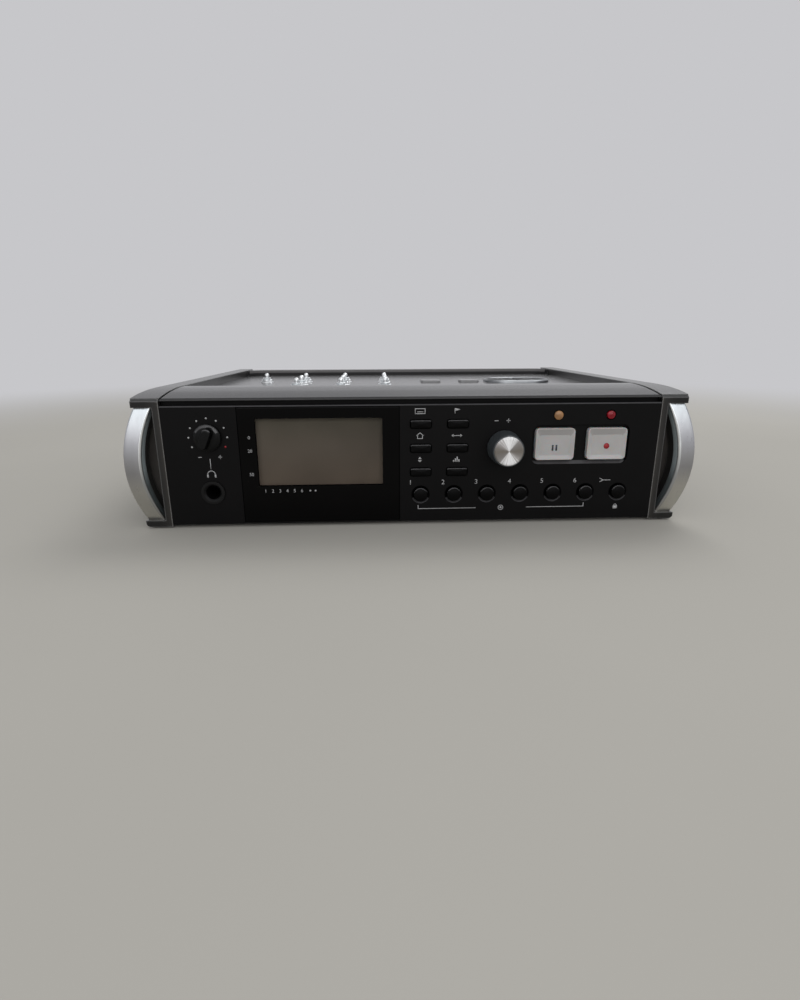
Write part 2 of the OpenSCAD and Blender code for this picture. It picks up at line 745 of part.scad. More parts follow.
module bottom_tray() {
    color(case_black) difference() {
        union() {
            // floor, rear wall and front flange
            translate([-skin_x, front_y + panel_t, foot_h]) cube([2 * skin_x, case_d - panel_t, sheet_t]);
            translate([-skin_x, rear_y - sheet_t, foot_h])
                cube([2 * skin_x, sheet_t, skirt_z - seam - foot_h]);
            translate([-skin_x, front_y + panel_t, foot_h]) cube([2 * skin_x, sheet_t, low_lip]);
            // turned-up edges along the side frames
            for (side = [0, 1]) mirror([side, 0, 0])
                translate([skin_x - sheet_t, front_y + panel_t, foot_h])
                    cube([sheet_t, case_d - panel_t, edge_h]);
            // posts under the main board
            for (sx = [-1, 1], d = [main_d0 + main_post_in, main_d1 - main_post_in])
                translate([sx * main_post_x, front_y + d, foot_h])
                    cylinder(r = main_post_r, h = main_z - foot_h);
        }
        // opening of the battery bay
        bay_block(bay_cut_w, bay_cut_l, foot_h - cut, floor_z + cut);
        // screw holes, and gaps in the turned-up edges for the lugs
        for (sx = [-1, 1], d = lug_places) {
            translate([sx * lug_screw_x, front_y + d, foot_h - cut])
                cylinder(r = shank_r + shank_gap, h = sheet_t + 2 * cut);
            translate([sx * skin_x - 2 * sheet_t, front_y + d - lug_l / 2 - seam, floor_z])
                cube([4 * sheet_t, lug_l + 2 * seam, edge_h]);
        }
    }
}

module top_cover() {
    color(cover_grey) difference() {
        union() {
            across(-skin_x, skin_x) difference() {
                cover_side(0, skirt_z);
                cover_side(wall, skirt_z - cut);
                front_corner(lip_chamfer);
                // the front lip is thin, and the panel's tongue stands behind it
                translate([-cut, skirt_z - cut])
                    square([panel_t + tongue_t + 2 * seam + cut, lip_z - skirt_z + cut]);
            }
            // solid fillets in the deck's rear corners
            for (side = [0, 1]) mirror([side, 0, 0])
                translate([skin_x - deck_corner_r, rear_y - rim_w - deck_corner_r, under_z])
                    linear_extrude(rim_z - under_z) difference() {
                        square(deck_corner_r);
                        circle(deck_corner_r);
                    }
            // posts that carry the deck board
            for (x = [deck_board_x0 + deck_board_side / 2, deck_board_x1 - deck_board_side / 2], d = [-1, 1])
                on_deck(x, pad_d + d * pad_l / 4)
                    translate([0, 0, -wall - deck_board_d])
                        cylinder(r = board_post_r, h = wall + deck_board_d);
        }
        for (side = [0, 1]) mirror([side, 0, 0]) brow_end();
        for (place = toggle_places) on_deck(place[0], place[1])
            translate([0, 0, -wall - cut]) cylinder(r = toggle_bush_r + socket_gap, h = wall + 2 * cut);
        for (i = [0, 1]) on_deck(flat_x + i * flat_pitch, flat_d)
            translate([0, 0, -wall - cut]) linear_extrude(wall + 2 * cut)
                round_rect(flat_w + 2 * key_gap, flat_l + 2 * key_gap, fkey_r + key_gap);
        for (side = pad_sides) on_deck(pad_x, pad_d)
            translate([0, 0, -wall - cut]) linear_extrude(wall + 2 * cut)
                pad_quarter(side, key_gap, pad_split - 2 * key_gap);
    }
}

module front_panel() {
    color(case_black) on_panel(0, 0) difference() {
        union() {
            translate([-skin_x, foot_h, -panel_t]) cube([2 * skin_x, panel_z - foot_h, panel_t]);
            translate([-skin_x, board_high, -panel_t - tongue_t])
                cube([2 * skin_x, lip_z - seam - board_high, tongue_t]);
            for (sx = [-1, 1], z = [board_post_low, board_post_high])
                translate([sx * board_post_x, z, -board_d]) cylinder(r = board_post_r, h = board_d - panel_t);
        }
        translate([0, panel_z, 0]) rotate([45, 0, 0])
            cube([2 * skin_x + cut, panel_chamfer * sqrt(2), panel_chamfer * sqrt(2)], center = true);
        // rebate of the display window and the opening behind it
        translate([window_x - window_w / 2 - window_gap, window_low - window_gap, -window_t])
            cube([window_w + 2 * window_gap, window_high - window_low + 2 * window_gap, window_t + cut]);
        translate([window_x - lcd_w / 2 - lcd_step, lcd_z - lcd_h / 2 - lcd_step, -panel_t - cut])
            cube([lcd_w + 2 * lcd_step, lcd_h + 2 * lcd_step, panel_t + cut]);
        // holes of knob, dial, phones socket and lamps
        for (place = [[knob_x, knob_z], [dial_x, dial_z]]) translate([place[0], place[1], -panel_t - cut])
            cylinder(r = bush_r + bush_gap, h = panel_t + 2 * cut);
        translate([knob_x, phones_z, -panel_t - cut])
            cylinder(r = jack_bush_r + socket_gap, h = panel_t + 2 * cut);
        for (place = led_places) translate([place[0], place[1], -panel_t - cut])
            cylinder(r = led_r + socket_gap, h = panel_t + 2 * cut);
        // key holes: flat keys, round keys with a chamfered ring, and the recessed pair
        for (place = fkey_places) translate([place[0], place[1], -panel_t - cut])
            linear_extrude(panel_t + 2 * cut)
                round_rect(fkey_w + 2 * key_gap, fkey_h + 2 * key_gap, fkey_r + key_gap);
        for (place = track_places) translate([place[0], place[1], 0]) {
            translate([0, 0, -panel_t - cut]) cylinder(r = track_r + key_gap, h = panel_t + 2 * cut);
            translate([0, 0, key_gap - track_ring_r + track_r])
                cylinder(r1 = track_r + key_gap, r2 = track_ring_r, h = track_ring_r - track_r - key_gap);
        }
        for (place = big_places) translate([place[0], place[1], -panel_t - cut])
            linear_extrude(panel_t + 2 * cut)
                round_rect(big_w + 2 * key_gap, big_h + 2 * key_gap, big_r + key_gap);
        translate([(pause_x + big_x) / 2, big_z + (recess_side - recess_low) / 2, -recess_t]) difference() {
            linear_extrude(recess_t + cut) round_rect(recess_w, recess_h, recess_r);
            // the recess's lower side slopes outwards
            rotate([90, 0, 90]) linear_extrude(2 * recess_w, center = true)
                polygon([[-recess_h / 2 - cut, -cut], [recess_slope - recess_h / 2, -cut],
                         [recess_slope - recess_h / 2, 0], [-recess_h / 2, recess_t],
                         [-recess_h / 2 - cut, recess_t]]);
        }
    }
}

module right_frame() {
    difference() {
        union() {
            intersection() {
                along(0, case_d) difference() {
                    translate([inner_x, frame_gap]) square([frame_t, case_h - frame_gap]);
                    // the outer edges are round above and below
                    translate([half_w - rail_r, case_h - rail_r]) difference() {
                        square(rail_r + cut);
                        circle(rail_r);
                    }
                    translate([half_w - hem_r, frame_gap + hem_r]) mirror([0, 1]) difference() {
                        square(hem_r + cut);
                        circle(hem_r);
                    }
                }
                across(inner_x - cut, half_w + cut) {
                    difference() {
                        brow_front(0, 0);
                        front_corner(frame_chamfer);
                    }
                    translate([brow_d, 0]) square([case_d - brow_d, case_h]);
                }
            }
            for (d = lug_places) translate([inner_x - lug_reach, front_y + d - lug_l / 2, lug_z])
                cube([lug_reach + cheek_t, lug_l, lug_h]);
        }
        // strap notch at the front corner, round at its rear corners
        across(inner_x + cheek_t, half_w + cut)
            translate([0, bar_z]) round_rect(2 * notch_d, notch_h, notch_r);
        // hollow behind it, where the jack plate rests against the outer skin
        translate([inner_x - cut, front_y + hollow_d, notch_low])
            cube([plate_x - inner_x + cut, hollow_l, notch_high - notch_low]);
        // window for the sockets
        translate([plate_x - cut, front_y + hollow_d + hollow_l / 2, window_z])
            rotate([90, 0, 90]) linear_extrude(skin_t + 2 * cut)
                round_rect(hollow_l - 2 * border_d, notch_high - notch_low - 2 * border_h, window_r);
        for (d = lug_places) translate([lug_screw_x, front_y + d, lug_z - cut])
            cylinder(r = shank_r + shank_gap, h = lug_h + 2 * cut);
    }
}

// The frame with its rib, which runs into the lips above and below the notch
module ribbed_frame() {
    right_frame();
    bow_block(rib_step, bar_set + bar_d + seam / 4, bar_set + bar_d + rib_d, cut);
}

module right_side_frame() {
    color(frame_grey) ribbed_frame();
}

module left_side_frame() {
    color(frame_grey) mirror([1, 0, 0]) ribbed_frame();
}

// Block that bows outwards in the front view and swells forwards in the side view
module bow_block(step, d0, d1, reach) {
    intersection() {
        along(-bar_swell - cut, d1 + cut) intersection() {
            difference() {
                translate([bar_mid_x + bar_t - bar_out_r, bar_z]) circle(bar_out_r - step, $fn = 180);
                translate([bar_mid_x - bar_in_r, bar_z]) circle(bar_in_r + step, $fn = 180);
            }
            translate([inner_x, notch_floor - reach]) square([2 * frame_t, notch_h + 2 * reach]);
        }
        across(inner_x, inner_x + 2 * frame_t) difference() {
            intersection() {
                translate([d0 - bar_swell + bar_swell_r, bar_z]) circle(bar_swell_r, $fn = 180);
                translate([-bar_swell - cut, notch_floor - reach])
                    square([d1 + bar_swell + 2 * cut, notch_h + 2 * reach]);
            }
            translate([d1 - bar_swell + bar_swell_r, bar_z]) circle(bar_swell_r, $fn = 180);
        }
    }
}

module right_grab_bar() {
    color(silver) bow_block(0, bar_set, bar_set + bar_d, 0);
}

module left_grab_bar() {
    color(silver) mirror([1, 0, 0]) bow_block(0, bar_set, bar_set + bar_d, 0);
}

// Plate behind the socket window, seen from outside about its middle
module jack_plate() {
    translate([0, 0, -plate_t]) linear_extrude(plate_t)
        square([hollow_l - 2 * plate_gap, notch_high - notch_low - 2 * plate_gap], center = true);
}

module left_jack_plate() {
    color(case_black) difference() {
        on_left(hollow_d + hollow_l / 2, window_z) jack_plate();
        for (i = [0 : 3]) on_left(combo_d + i * combo_pitch, socket_z)
            translate([0, 0, -plate_t - cut]) cylinder(r = combo_r + socket_gap, h = plate_t + 2 * cut);
        for (s = [-1, 1]) on_left(line_d, socket_z + s * line_pitch / 2)
            translate([0, 0, -plate_t - cut]) cylinder(r = jack_bush_r + socket_gap, h = plate_t + 2 * cut);
    }
}

module right_jack_plate() {
    color(case_black) difference() {
        union() {
            on_right(hollow_d + hollow_l / 2, window_z) jack_plate();
            // ears for the card door's pin
            for (s = [-1, 1]) on_right(card_d + s * (door_w / 2 + flange_gap + pin_l / 2), door_pin_z)
                translate([-pin_l / 2, -knuckle_r, -cut])
                    cube([pin_l, 2 * knuckle_r, pin_h + knuckle_r + cut]);
        }
        on_right(card_d, door_pin_z) translate([0, 0, pin_h]) rotate([0, 90, 0])
            cylinder(r = pin_r + run_gap, h = 2 * door_w, center = true);
        for (i = [0 : 3], s = [-1, 1]) on_right(phono_d + i * phono_pitch, socket_z + s * phono_row / 2)
            translate([0, 0, -plate_t - cut]) cylinder(r = phono_r + socket_gap, h = plate_t + 2 * cut);
        on_right(inlet_d, inlet_z) translate([0, 0, -plate_t - cut])
            cylinder(r = phono_r + socket_gap, h = plate_t + 2 * cut);
        on_right(port_d, inlet_z) cube([port_w + sheet_t, port_h + sheet_t, 4 * plate_t], center = true);
        on_right(card_d, card_z) cube([card_w + 2 * sheet_t, card_h + sheet_t, 4 * plate_t], center = true);
    }
}

module display_window() {
    color([0.03, 0.03, 0.04]) on_panel(window_x, (window_low + window_high) / 2)
        translate([0, 0, -window_t]) linear_extrude(window_t)
            square([window_w, window_high - window_low], center = true);
}

module lcd_module() {
    color([0.2, 0.21, 0.17]) on_panel(window_x, lcd_z) {
        translate([0, 0, -board_d]) linear_extrude(board_d - panel_t - flange_gap)
            square([lcd_w + 2 * (lcd_step + lcd_border), lcd_h + 2 * (lcd_step + lcd_border)], center = true);
        translate([0, 0, -board_d]) linear_extrude(board_d - window_t - flange_gap)
            square([lcd_w + lcd_step, lcd_h + lcd_step], center = true);
    }
}

module circuit_boards() {
    color(board_green) {
        // front board with the switches of the panel keys
        on_panel(0, 0) difference() {
            union() {
                translate([-board_half_w, board_low, -board_d - board_t])
                    cube([2 * board_half_w, board_high - board_low, board_t]);
                for (place = concat(fkey_places, track_places, big_places))
                    translate([place[0], place[1], 0]) key_switch(-board_d);
            }
            translate([knob_x, phones_z, -board_d])
                linear_extrude(4 * board_t, center = true)
                    square(jack_body_w + 2 * socket_gap, center = true);
        }
        // deck board with the switches of the deck keys
        translate([0, front_y, under_z - deck_board_d - board_t]) {
            translate([deck_board_x0, pad_d - pad_l / 2, 0])
                cube([deck_board_x1 - deck_board_x0, pad_l, board_t]);
            for (i = [0, 1]) translate([flat_x + i * flat_pitch, flat_d, 0]) key_switch(board_t);
            for (side = pad_sides) translate([pad_x + side[0] * pad_w / 4, pad_d + side[1] * pad_l / 4, 0])
                key_switch(board_t);
        }
        // main board over the battery box
        translate([-main_w / 2, front_y + main_d0, main_z]) cube([main_w, main_d1 - main_d0, board_t]);
    }
}

module battery_box() {
    color(case_black) difference() {
        bay_block(bay_cut_w + 2 * bay_wall, bay_cut_l + 2 * bay_wall, floor_z, bay_high + bay_wall);
        bay_block(bay_w, bay_l, floor_z - cut, bay_high);
    }
}

module batteries() {
    color(silver) for (col = [-1, 1], row = [-1.5 : 1.5])
        translate([col * (cell_l + cell_gap) / 2, front_y + bay_mid + row * cell_pitch, cell_z])
            rotate([0, 90, 0]) cylinder(r = cell_r, h = cell_l, center = true);
}

// Door that rests against the battery box and lifts out downwards
module battery_door() {
    color(case_black) difference() {
        bay_block(bay_door_w, bay_door_l, foot_h, floor_z);
        for (i = [1 : 3])
            translate([-groove_l / 2, front_y + bay_d + door_gap + i * 3 * groove_w, foot_h - cut])
                cube([groove_l, groove_w, groove_t + cut]);
    }
}

module rubber_feet() {
    color(case_black) for (sx = [-1, 1], y = [front_y + foot_inset, rear_y - foot_inset])
        translate([sx * foot_x, y, 0]) linear_extrude(foot_h) round_rect(foot_l, foot_w, foot_w / 2 - seam);
}

module case_screws() {
    color([0.1, 0.1, 0.1]) for (sx = [-1, 1], d = lug_places) translate([sx * lug_screw_x, front_y + d, 0]) {
        translate([0, 0, foot_h - screw_h]) cylinder(r = screw_r, h = screw_h);
        translate([0, 0, foot_h - screw_h]) cylinder(r = shank_r, h = screw_h + sheet_t + lug_h);
    }
}

module control_bodies() {
    color(silver) for (place = [[knob_x, knob_z], [dial_x, dial_z]])
        on_panel(place[0], place[1]) control_body();
}

module phones_shaft() {
    color(silver) on_panel(knob_x, knob_z) control_shaft(knob_disc - shaft_end_t - flange_gap);
}

// Disc with a grip across it, which points up and to the right at rest
module phones_knob() {
    color(case_black) on_panel(knob_x, knob_z) rotate([0, 0, -knob_turn]) difference() {
        union() {
            translate([0, 0, knob_gap]) cylinder(r = knob_r, h = knob_disc - knob_gap - grip_set);
            translate([0, 0, knob_disc - grip_set])
                cylinder(r1 = knob_r, r2 = knob_r - grip_set, h = grip_set);
            intersection() {
                translate([0, 0, knob_gap]) cylinder(r = knob_r - grip_set, h = knob_h - knob_gap);
                translate([0, 0, knob_h / 2]) cube([grip_w, 2 * knob_r, knob_h], center = true);
            }
        }
        cylinder(r = shaft_r + run_gap, h = knob_disc - shaft_end_t);
        // pointer groove at the grip's upper end
        translate([0, knob_r / 2, knob_h]) cube([flange_w, knob_r, flange_w], center = true);
    }
}

module value_shaft() {
    color(silver) on_panel(dial_x, dial_z) control_shaft(dial_h - cap_t - shaft_end_t - flange_gap);
}

module value_dial() {
    color(case_black) on_panel(dial_x, dial_z) difference() {
        translate([0, 0, knob_gap]) cylinder(r1 = dial_r, r2 = dial_top_r, h = dial_h - cap_out - knob_gap);
        cylinder(r = shaft_r + run_gap, h = dial_h - cap_t - shaft_end_t);
        translate([0, 0, dial_h - cap_t]) cylinder(r = cap_r + run_gap, h = cap_t);
    }
}

module value_dial_cap() {
    color(silver) on_panel(dial_x, dial_z) {
        translate([0, 0, dial_h - cap_t]) cylinder(r = cap_r, h = cap_t - cap_out);
        translate([0, 0, dial_h - cap_out]) cylinder(r1 = cap_r, r2 = cap_r - cap_out, h = cap_out);
    }
}

// Flange and stem of a panel key with the given outline
module key_back(w, h, r, stem) {
    translate([0, 0, -flange_back]) linear_extrude(flange_t)
        round_rect(w + 2 * flange_w, h + 2 * flange_w, r + flange_w);
    translate([0, 0, -stem_end]) cylinder(r = stem, h = stem_end - flange_back);
}

// Key with a crowned face, its flange behind the panel and its stem
module flat_panel_key(w, h, r, out, crown, stem) {
    intersection() {
        translate([0, 0, -flange_back]) linear_extrude(flange_back + out) round_rect(w, h, r);
        translate([0, 0, out - crown]) rotate([0, 90, 0])
            cylinder(r = crown, h = 2 * w, center = true, $fn = 180);
    }
    key_back(w, h, r, stem);
}

module function_key(i) {
    color(case_black) on_panel(fkey_places[i][0], fkey_places[i][1])
        flat_panel_key(fkey_w, fkey_h, fkey_r, fkey_out, fkey_crown_r, stem_r);
}

// View of a sunk face that widens outwards, from its two ends and their borders
module dish_view(low, high, low_border, high_border) {
    grow = (big_dish + cut) / big_dish;
    polygon([[low + low_border, big_out - big_dish], [high - high_border, big_out - big_dish],
             [high + high_border * (grow - 1), big_out + cut],
             [low - low_border * (grow - 1), big_out + cut]]);
}

// Large key whose face lies between four sloping borders
module big_key() {
    side = big_w / 2 - big_rim;
    end = big_h / 2 - big_rim;
    difference() {
        translate([0, 0, -flange_back]) linear_extrude(flange_back + big_out) round_rect(big_w, big_h, big_r);
        intersection() {
            rotate([90, 0, 90]) linear_extrude(2 * big_w, center = true)
                dish_view(-end, end, big_border, big_border_top);
            rotate([90, 0, 0]) linear_extrude(2 * big_w, center = true)
                dish_view(-side, side, big_border, big_border);
        }
    }
    key_back(big_w, big_h, big_r, big_stem_r);
}

module pause_key() {
    color(key_white) on_panel(pause_x, big_z) big_key();
}

module record_key() {
    color(key_white) on_panel(big_x, big_z) big_key();
}

module track_key(i) {
    color(case_black) on_panel(track_places[i][0], track_places[i][1]) {
        intersection() {
            translate([0, 0, -flange_back]) cylinder(r = track_r, h = flange_back + track_out);
            translate([0, 0, track_out - track_dome_r]) sphere(track_dome_r, $fn = 120);
        }
        translate([0, 0, -flange_back]) cylinder(r = track_r + flange_w, h = flange_t);
        translate([0, 0, -stem_end]) cylinder(r = stem_r, h = stem_end - flange_back);
    }
}

module status_leds() {
    color([0.9, 0.45, 0.2]) for (place = led_places) on_panel(place[0], place[1]) {
        translate([0, 0, -board_d]) cylinder(r = led_r, h = board_d);
        intersection() {
            cylinder(r = led_r, h = led_out);
            translate([0, 0, led_out - arc_r(led_r, led_out)]) sphere(arc_r(led_r, led_out));
        }
    }
}

module toggle_bodies() {
    color(silver) for (place = toggle_places) on_deck(place[0], place[1]) difference() {
        union() {
            translate([-toggle_w / 2, -toggle_l / 2, -wall - toggle_h]) cube([toggle_w, toggle_l, toggle_h]);
            translate([0, 0, -wall - washer_t])
                cylinder(r = toggle_bush_r, h = wall + washer_t + toggle_bush_h);
            cylinder(r = washer_r, h = washer_t);
            translate([0, 0, washer_t]) cylinder(r = nut_r, h = nut_h, $fn = 6);
        }
        translate([0, 0, pivot_h - ball_r - ball_gap]) cylinder(r = ball_r + ball_gap, h = lever_h);
    }
}

// Lever that leans to the rear at rest and turns about its ball
module toggle_lever(i) {
    tip_h = lever_h - pivot_h - lever_r;
    color(silver) on_deck(toggle_places[i][0], toggle_places[i][1])
        translate([0, 0, pivot_h]) rotate([-toggle_tilt, 0, 0]) {
            sphere(ball_r);
            cylinder(r1 = lever_neck_r, r2 = lever_r, h = tip_h);
            translate([0, 0, tip_h]) sphere(lever_r);
        }
}

module transport_trim() {
    color(silver) on_deck(pad_x, pad_d) linear_extrude(pad_h) difference() {
        round_rect(pad_w, pad_l, pad_r);
        round_rect(pad_w - 2 * pad_rim, pad_l - 2 * pad_rim, pad_r - pad_rim);
    }
}

module pad_key(i) {
    color(case_black) on_deck(pad_x, pad_d) {
        translate([0, 0, -deck_flange_back]) linear_extrude(deck_flange_back + deck_key_out)
            pad_quarter(pad_sides[i], 0, pad_split);
        translate([0, 0, -deck_flange_back]) linear_extrude(flange_t)
            pad_quarter(pad_sides[i], flange_w, pad_split / 2);
        translate([pad_sides[i][0] * pad_w / 4, pad_sides[i][1] * pad_l / 4, -deck_stem_end])
            cylinder(r = stem_r, h = deck_stem_end - deck_flange_back);
    }
}

module flat_key(i) {
    color(case_black) on_deck(flat_x + i * flat_pitch, flat_d) {
        translate([0, 0, -deck_flange_back]) linear_extrude(deck_flange_back + deck_key_out)
            round_rect(flat_w, flat_l, fkey_r);
        translate([0, 0, -deck_flange_back]) linear_extrude(flange_t)
            round_rect(flat_w + 2 * flange_w, flat_l + 2 * flange_w, fkey_r + flange_w);
        translate([0, 0, -deck_stem_end]) cylinder(r = stem_r, h = deck_stem_end - deck_flange_back);
    }
}

// Locking sockets: a shell with an open ring round an insert that takes a quarter-inch plug
// Locking combination socket whose insert holds a quarter-inch socket
module combo_socket() {
    difference() {
        union() {
            linear_extrude(plate_t) round_rect(combo_w, combo_h, window_r);
            translate([0, 0, -combo_depth]) cylinder(r = combo_r, h = combo_depth);
        }
        translate([0, 0, -combo_depth + sheet_t]) cylinder(r = combo_bore_r, h = combo_depth + plate_t);
    }
    difference() {
        translate([0, 0, -combo_depth + sheet_t]) cylinder(r = insert_r, h = combo_depth);
        translate([0, 0, -jack_bore_d]) cylinder(r = jack_bore_r, h = jack_bore_d + plate_t);
        for (a = [30, 150, 270]) rotate([0, 0, a]) translate([contact_ring_r, 0, -jack_bore_d / 2])
            cylinder(r = contact_r, h = jack_bore_d);
    }
}

module phono_jacks() {
    color(silver) for (i = [0 : 3], s = [-1, 1])
        on_right(phono_d + i * phono_pitch, socket_z + s * phono_row / 2) difference() {
            union() {
                cylinder(r = phono_flange_r, h = phono_flange_t);
                translate([0, 0, -plate_t]) cylinder(r = phono_r, h = plate_t + phono_out);
                translate([-phono_flange_r, -phono_flange_r, -plate_t - phono_out])
                    cube([2 * phono_flange_r, 2 * phono_flange_r, phono_out]);
            }
            cylinder(r = phono_bore_r, h = phono_out + cut);
        }
}

// Black sockets: phones, line and combination sockets, power inlet with its pin, data port and card slot
module socket_bodies() {
    color(case_black) {
        on_panel(knob_x, phones_z) jack_socket(panel_t);
        for (s = [-1, 1]) on_left(line_d, socket_z + s * line_pitch / 2) jack_socket(plate_t);
        for (i = [0 : 3]) on_left(combo_d + i * combo_pitch, socket_z) combo_socket();
        on_right(inlet_d, inlet_z) {
            difference() {
                union() {
                    cylinder(r = phono_flange_r, h = phono_flange_t);
                    translate([0, 0, -plate_t]) cylinder(r = phono_r, h = plate_t);
                    translate([-phono_flange_r, -phono_flange_r, -plate_t - phono_out])
                        cube([2 * phono_flange_r, 2 * phono_flange_r, phono_out]);
                }
                translate([0, 0, -phono_out]) cylinder(r = inlet_r, h = 2 * phono_out);
            }
            translate([0, 0, -phono_out - cut]) cylinder(r = inlet_r / 4, h = phono_out + cut);
        }
        on_right(port_d, inlet_z) difference() {
            translate([0, 0, -phono_out]) linear_extrude(phono_out)
                square([port_w + sheet_t - seam, port_h + sheet_t - seam], center = true);
            translate([0, 0, -phono_out + plate_t]) linear_extrude(phono_out)
                square([port_w, port_h], center = true);
        }
        on_right(card_d, card_z) difference() {
            translate([0, 0, -card_w]) linear_extrude(card_w)
                square([card_w + 2 * sheet_t - seam, card_h + sheet_t - seam], center = true);
            translate([0, 0, -card_w + plate_t]) linear_extrude(card_w)
                square([card_w, card_h], center = true);
        }
    }
}

// Flap over the card slot, which swings out and down on its pin
module card_door() {
    color(case_black) on_right(card_d, door_pin_z) translate([0, 0, pin_h]) {
        rotate([0, 90, 0]) cylinder(r = knuckle_r, h = door_w, center = true);
        rotate([0, 90, 0]) cylinder(r = pin_r, h = door_w + 2 * pin_l, center = true);
        translate([-door_w / 2, 0, -door_t / 2]) cube([door_w, door_h, door_t]);
    }
}

bottom_tray();
top_cover();
front_panel();
left_side_frame();
right_side_frame();
left_grab_bar();
right_grab_bar();
left_jack_plate();
right_jack_plate();
display_window();
lcd_module();
circuit_boards();
battery_box();
batteries();
battery_door();
rubber_feet();
case_screws();
control_bodies();
phones_shaft();
phones_knob();
value_shaft();
value_dial();
value_dial_cap();
pause_key();
record_key();
status_leds();
toggle_bodies();
transport_trim();
socket_bodies();
phono_jacks();
card_door();
for (i = [0 : len(fkey_places) - 1])
    function_key(i);
for (i = [0 : track_count - 1])
    track_key(i);
for (i = [0 : len(toggle_places) - 1])
    toggle_lever(i);
for (i = [0 : len(pad_keys) - 1])
    pad_key(i);
for (i = [0 : len(flat_keys) - 1])
    flat_key(i);
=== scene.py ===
import json
import math
import bpy
import numpy as np
from mathutils import Matrix, Vector


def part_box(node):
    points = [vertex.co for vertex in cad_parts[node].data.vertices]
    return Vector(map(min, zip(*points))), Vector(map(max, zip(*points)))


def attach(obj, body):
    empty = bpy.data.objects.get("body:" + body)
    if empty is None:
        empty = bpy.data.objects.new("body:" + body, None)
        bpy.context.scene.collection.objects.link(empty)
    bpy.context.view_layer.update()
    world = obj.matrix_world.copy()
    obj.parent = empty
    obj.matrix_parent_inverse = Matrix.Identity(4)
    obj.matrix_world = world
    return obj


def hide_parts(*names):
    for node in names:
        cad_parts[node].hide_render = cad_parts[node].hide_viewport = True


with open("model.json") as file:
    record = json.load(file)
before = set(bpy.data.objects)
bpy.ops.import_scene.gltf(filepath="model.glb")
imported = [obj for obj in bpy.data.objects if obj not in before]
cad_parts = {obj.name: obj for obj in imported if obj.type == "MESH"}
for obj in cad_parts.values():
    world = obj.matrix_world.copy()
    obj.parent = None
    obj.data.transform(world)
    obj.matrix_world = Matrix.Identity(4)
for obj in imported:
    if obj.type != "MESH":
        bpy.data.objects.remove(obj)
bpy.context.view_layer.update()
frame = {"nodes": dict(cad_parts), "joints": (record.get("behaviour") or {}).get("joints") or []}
print("frame loaded")

mm = 0.001
scene = bpy.context.scene
scene.view_settings.view_transform = "Standard"


def nodeBox(name):  # lowest corner, highest corner and middle of a CAD node, in millimetres
    low, high = (np.array(corner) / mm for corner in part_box(name))
    return low, high, (low + high) / 2


frontY = nodeBox("front_panel")[0][1]
rearY = nodeBox("top_cover")[1][1]
plateX = -nodeBox("left_jack_plate")[0][0]


# Places: local x to the right, y up and z out of the surface, seen from outside
def onPanel(x, z):
    return lambda p: np.column_stack([x + p[:, 0], frontY - p[:, 2], z + p[:, 1]])


def overNode(name):  # on the panel, in the middle of a CAD node
    middle = nodeBox(name)[2]
    return onPanel(middle[0], middle[2])


def onDeck(x, y, z):
    return lambda p: p + np.array([x, y, z])


def onRight(y, z):
    return lambda p: np.column_stack([plateX + p[:, 2], y + p[:, 0], z + p[:, 1]])


def onLeft(y, z):
    return lambda p: np.column_stack([-plateX - p[:, 2], y - p[:, 0], z + p[:, 1]])


def onBase(x, y, z):
    return lambda p: np.column_stack([x + p[:, 0], y - p[:, 1], z - p[:, 2]])


def turned(angle):  # about local z, degrees counter-clockwise
    c, s = math.cos(math.radians(angle)), math.sin(math.radians(angle))
    return lambda p: p @ np.array([[c, s, 0], [-s, c, 0], [0, 0, 1]])


def tipped(angle):  # about local x, degrees
    c, s = math.cos(math.radians(angle)), math.sin(math.radians(angle))
    return lambda p: p @ np.array([[1, 0, 0], [0, c, s], [0, -s, c]])


def shifted(x, y, z=0.0):
    return lambda p: p + np.array([x, y, z])


# Shapes: a shell is an array of points with a list of faces
def outline(width, height, radius, steps=7, sides=3):
    # Corner centre + radius (cos a, sin a), counter-clockwise, with points along the straight sides
    turn = np.arange(4) * np.pi / 2
    a = turn[:, None] + np.linspace(0, np.pi / 2, steps)
    w, h = (np.asarray(size)[..., None, None] for size in (width, height))
    r = np.asarray(radius)[..., None]
    x = np.sign(np.cos(turn + np.pi / 4))[:, None] * (w / 2 - r) + r * np.cos(a)
    y = np.sign(np.sin(turn + np.pi / 4))[:, None] * (h / 2 - r) + r * np.sin(a)
    arcs = np.stack([x, y], -1)
    share = np.linspace(0, 1, sides + 2)[1:-1, None]
    start, end = arcs[..., -1:, :], np.roll(arcs, -1, -3)[..., :1, :]
    full = np.concatenate([arcs, start + (end - start) * share], -2)
    return full.reshape(full.shape[:-3] + (-1, 2))


def stack(rows, corner=(1, 1, 1, 1), least=0.12):
    # Rounded outlines over each other, from rows of width, height, radius, shift x, shift y and level
    w, h, r, dx, dy, z = np.array(rows, float).T
    flat = outline(w, h, np.maximum(r[:, None] * np.array(corner), least))
    level = np.broadcast_to(z[:, None], flat.shape[:2])
    return np.dstack([flat[..., 0] + dx[:, None], flat[..., 1] + dy[:, None], level])


def insets(width, height, radius, profile):  # profile of inset and level
    return [(width - 2 * i, height - 2 * i, radius - i, 0, 0, z) for i, z in profile]


def dome(grid, crown, rows=5, least=0.03):  # z = top + crown (1 - s s) while the last ring shrinks to its middle
    s = np.linspace(1, least, rows + 1)[1:, None, None]
    middle = grid[-1].mean(0)
    rings = middle + (grid[-1] - middle) * s
    rings[..., 2] += crown * (1 - s[..., 0] ** 2)
    return np.concatenate([grid, rings])


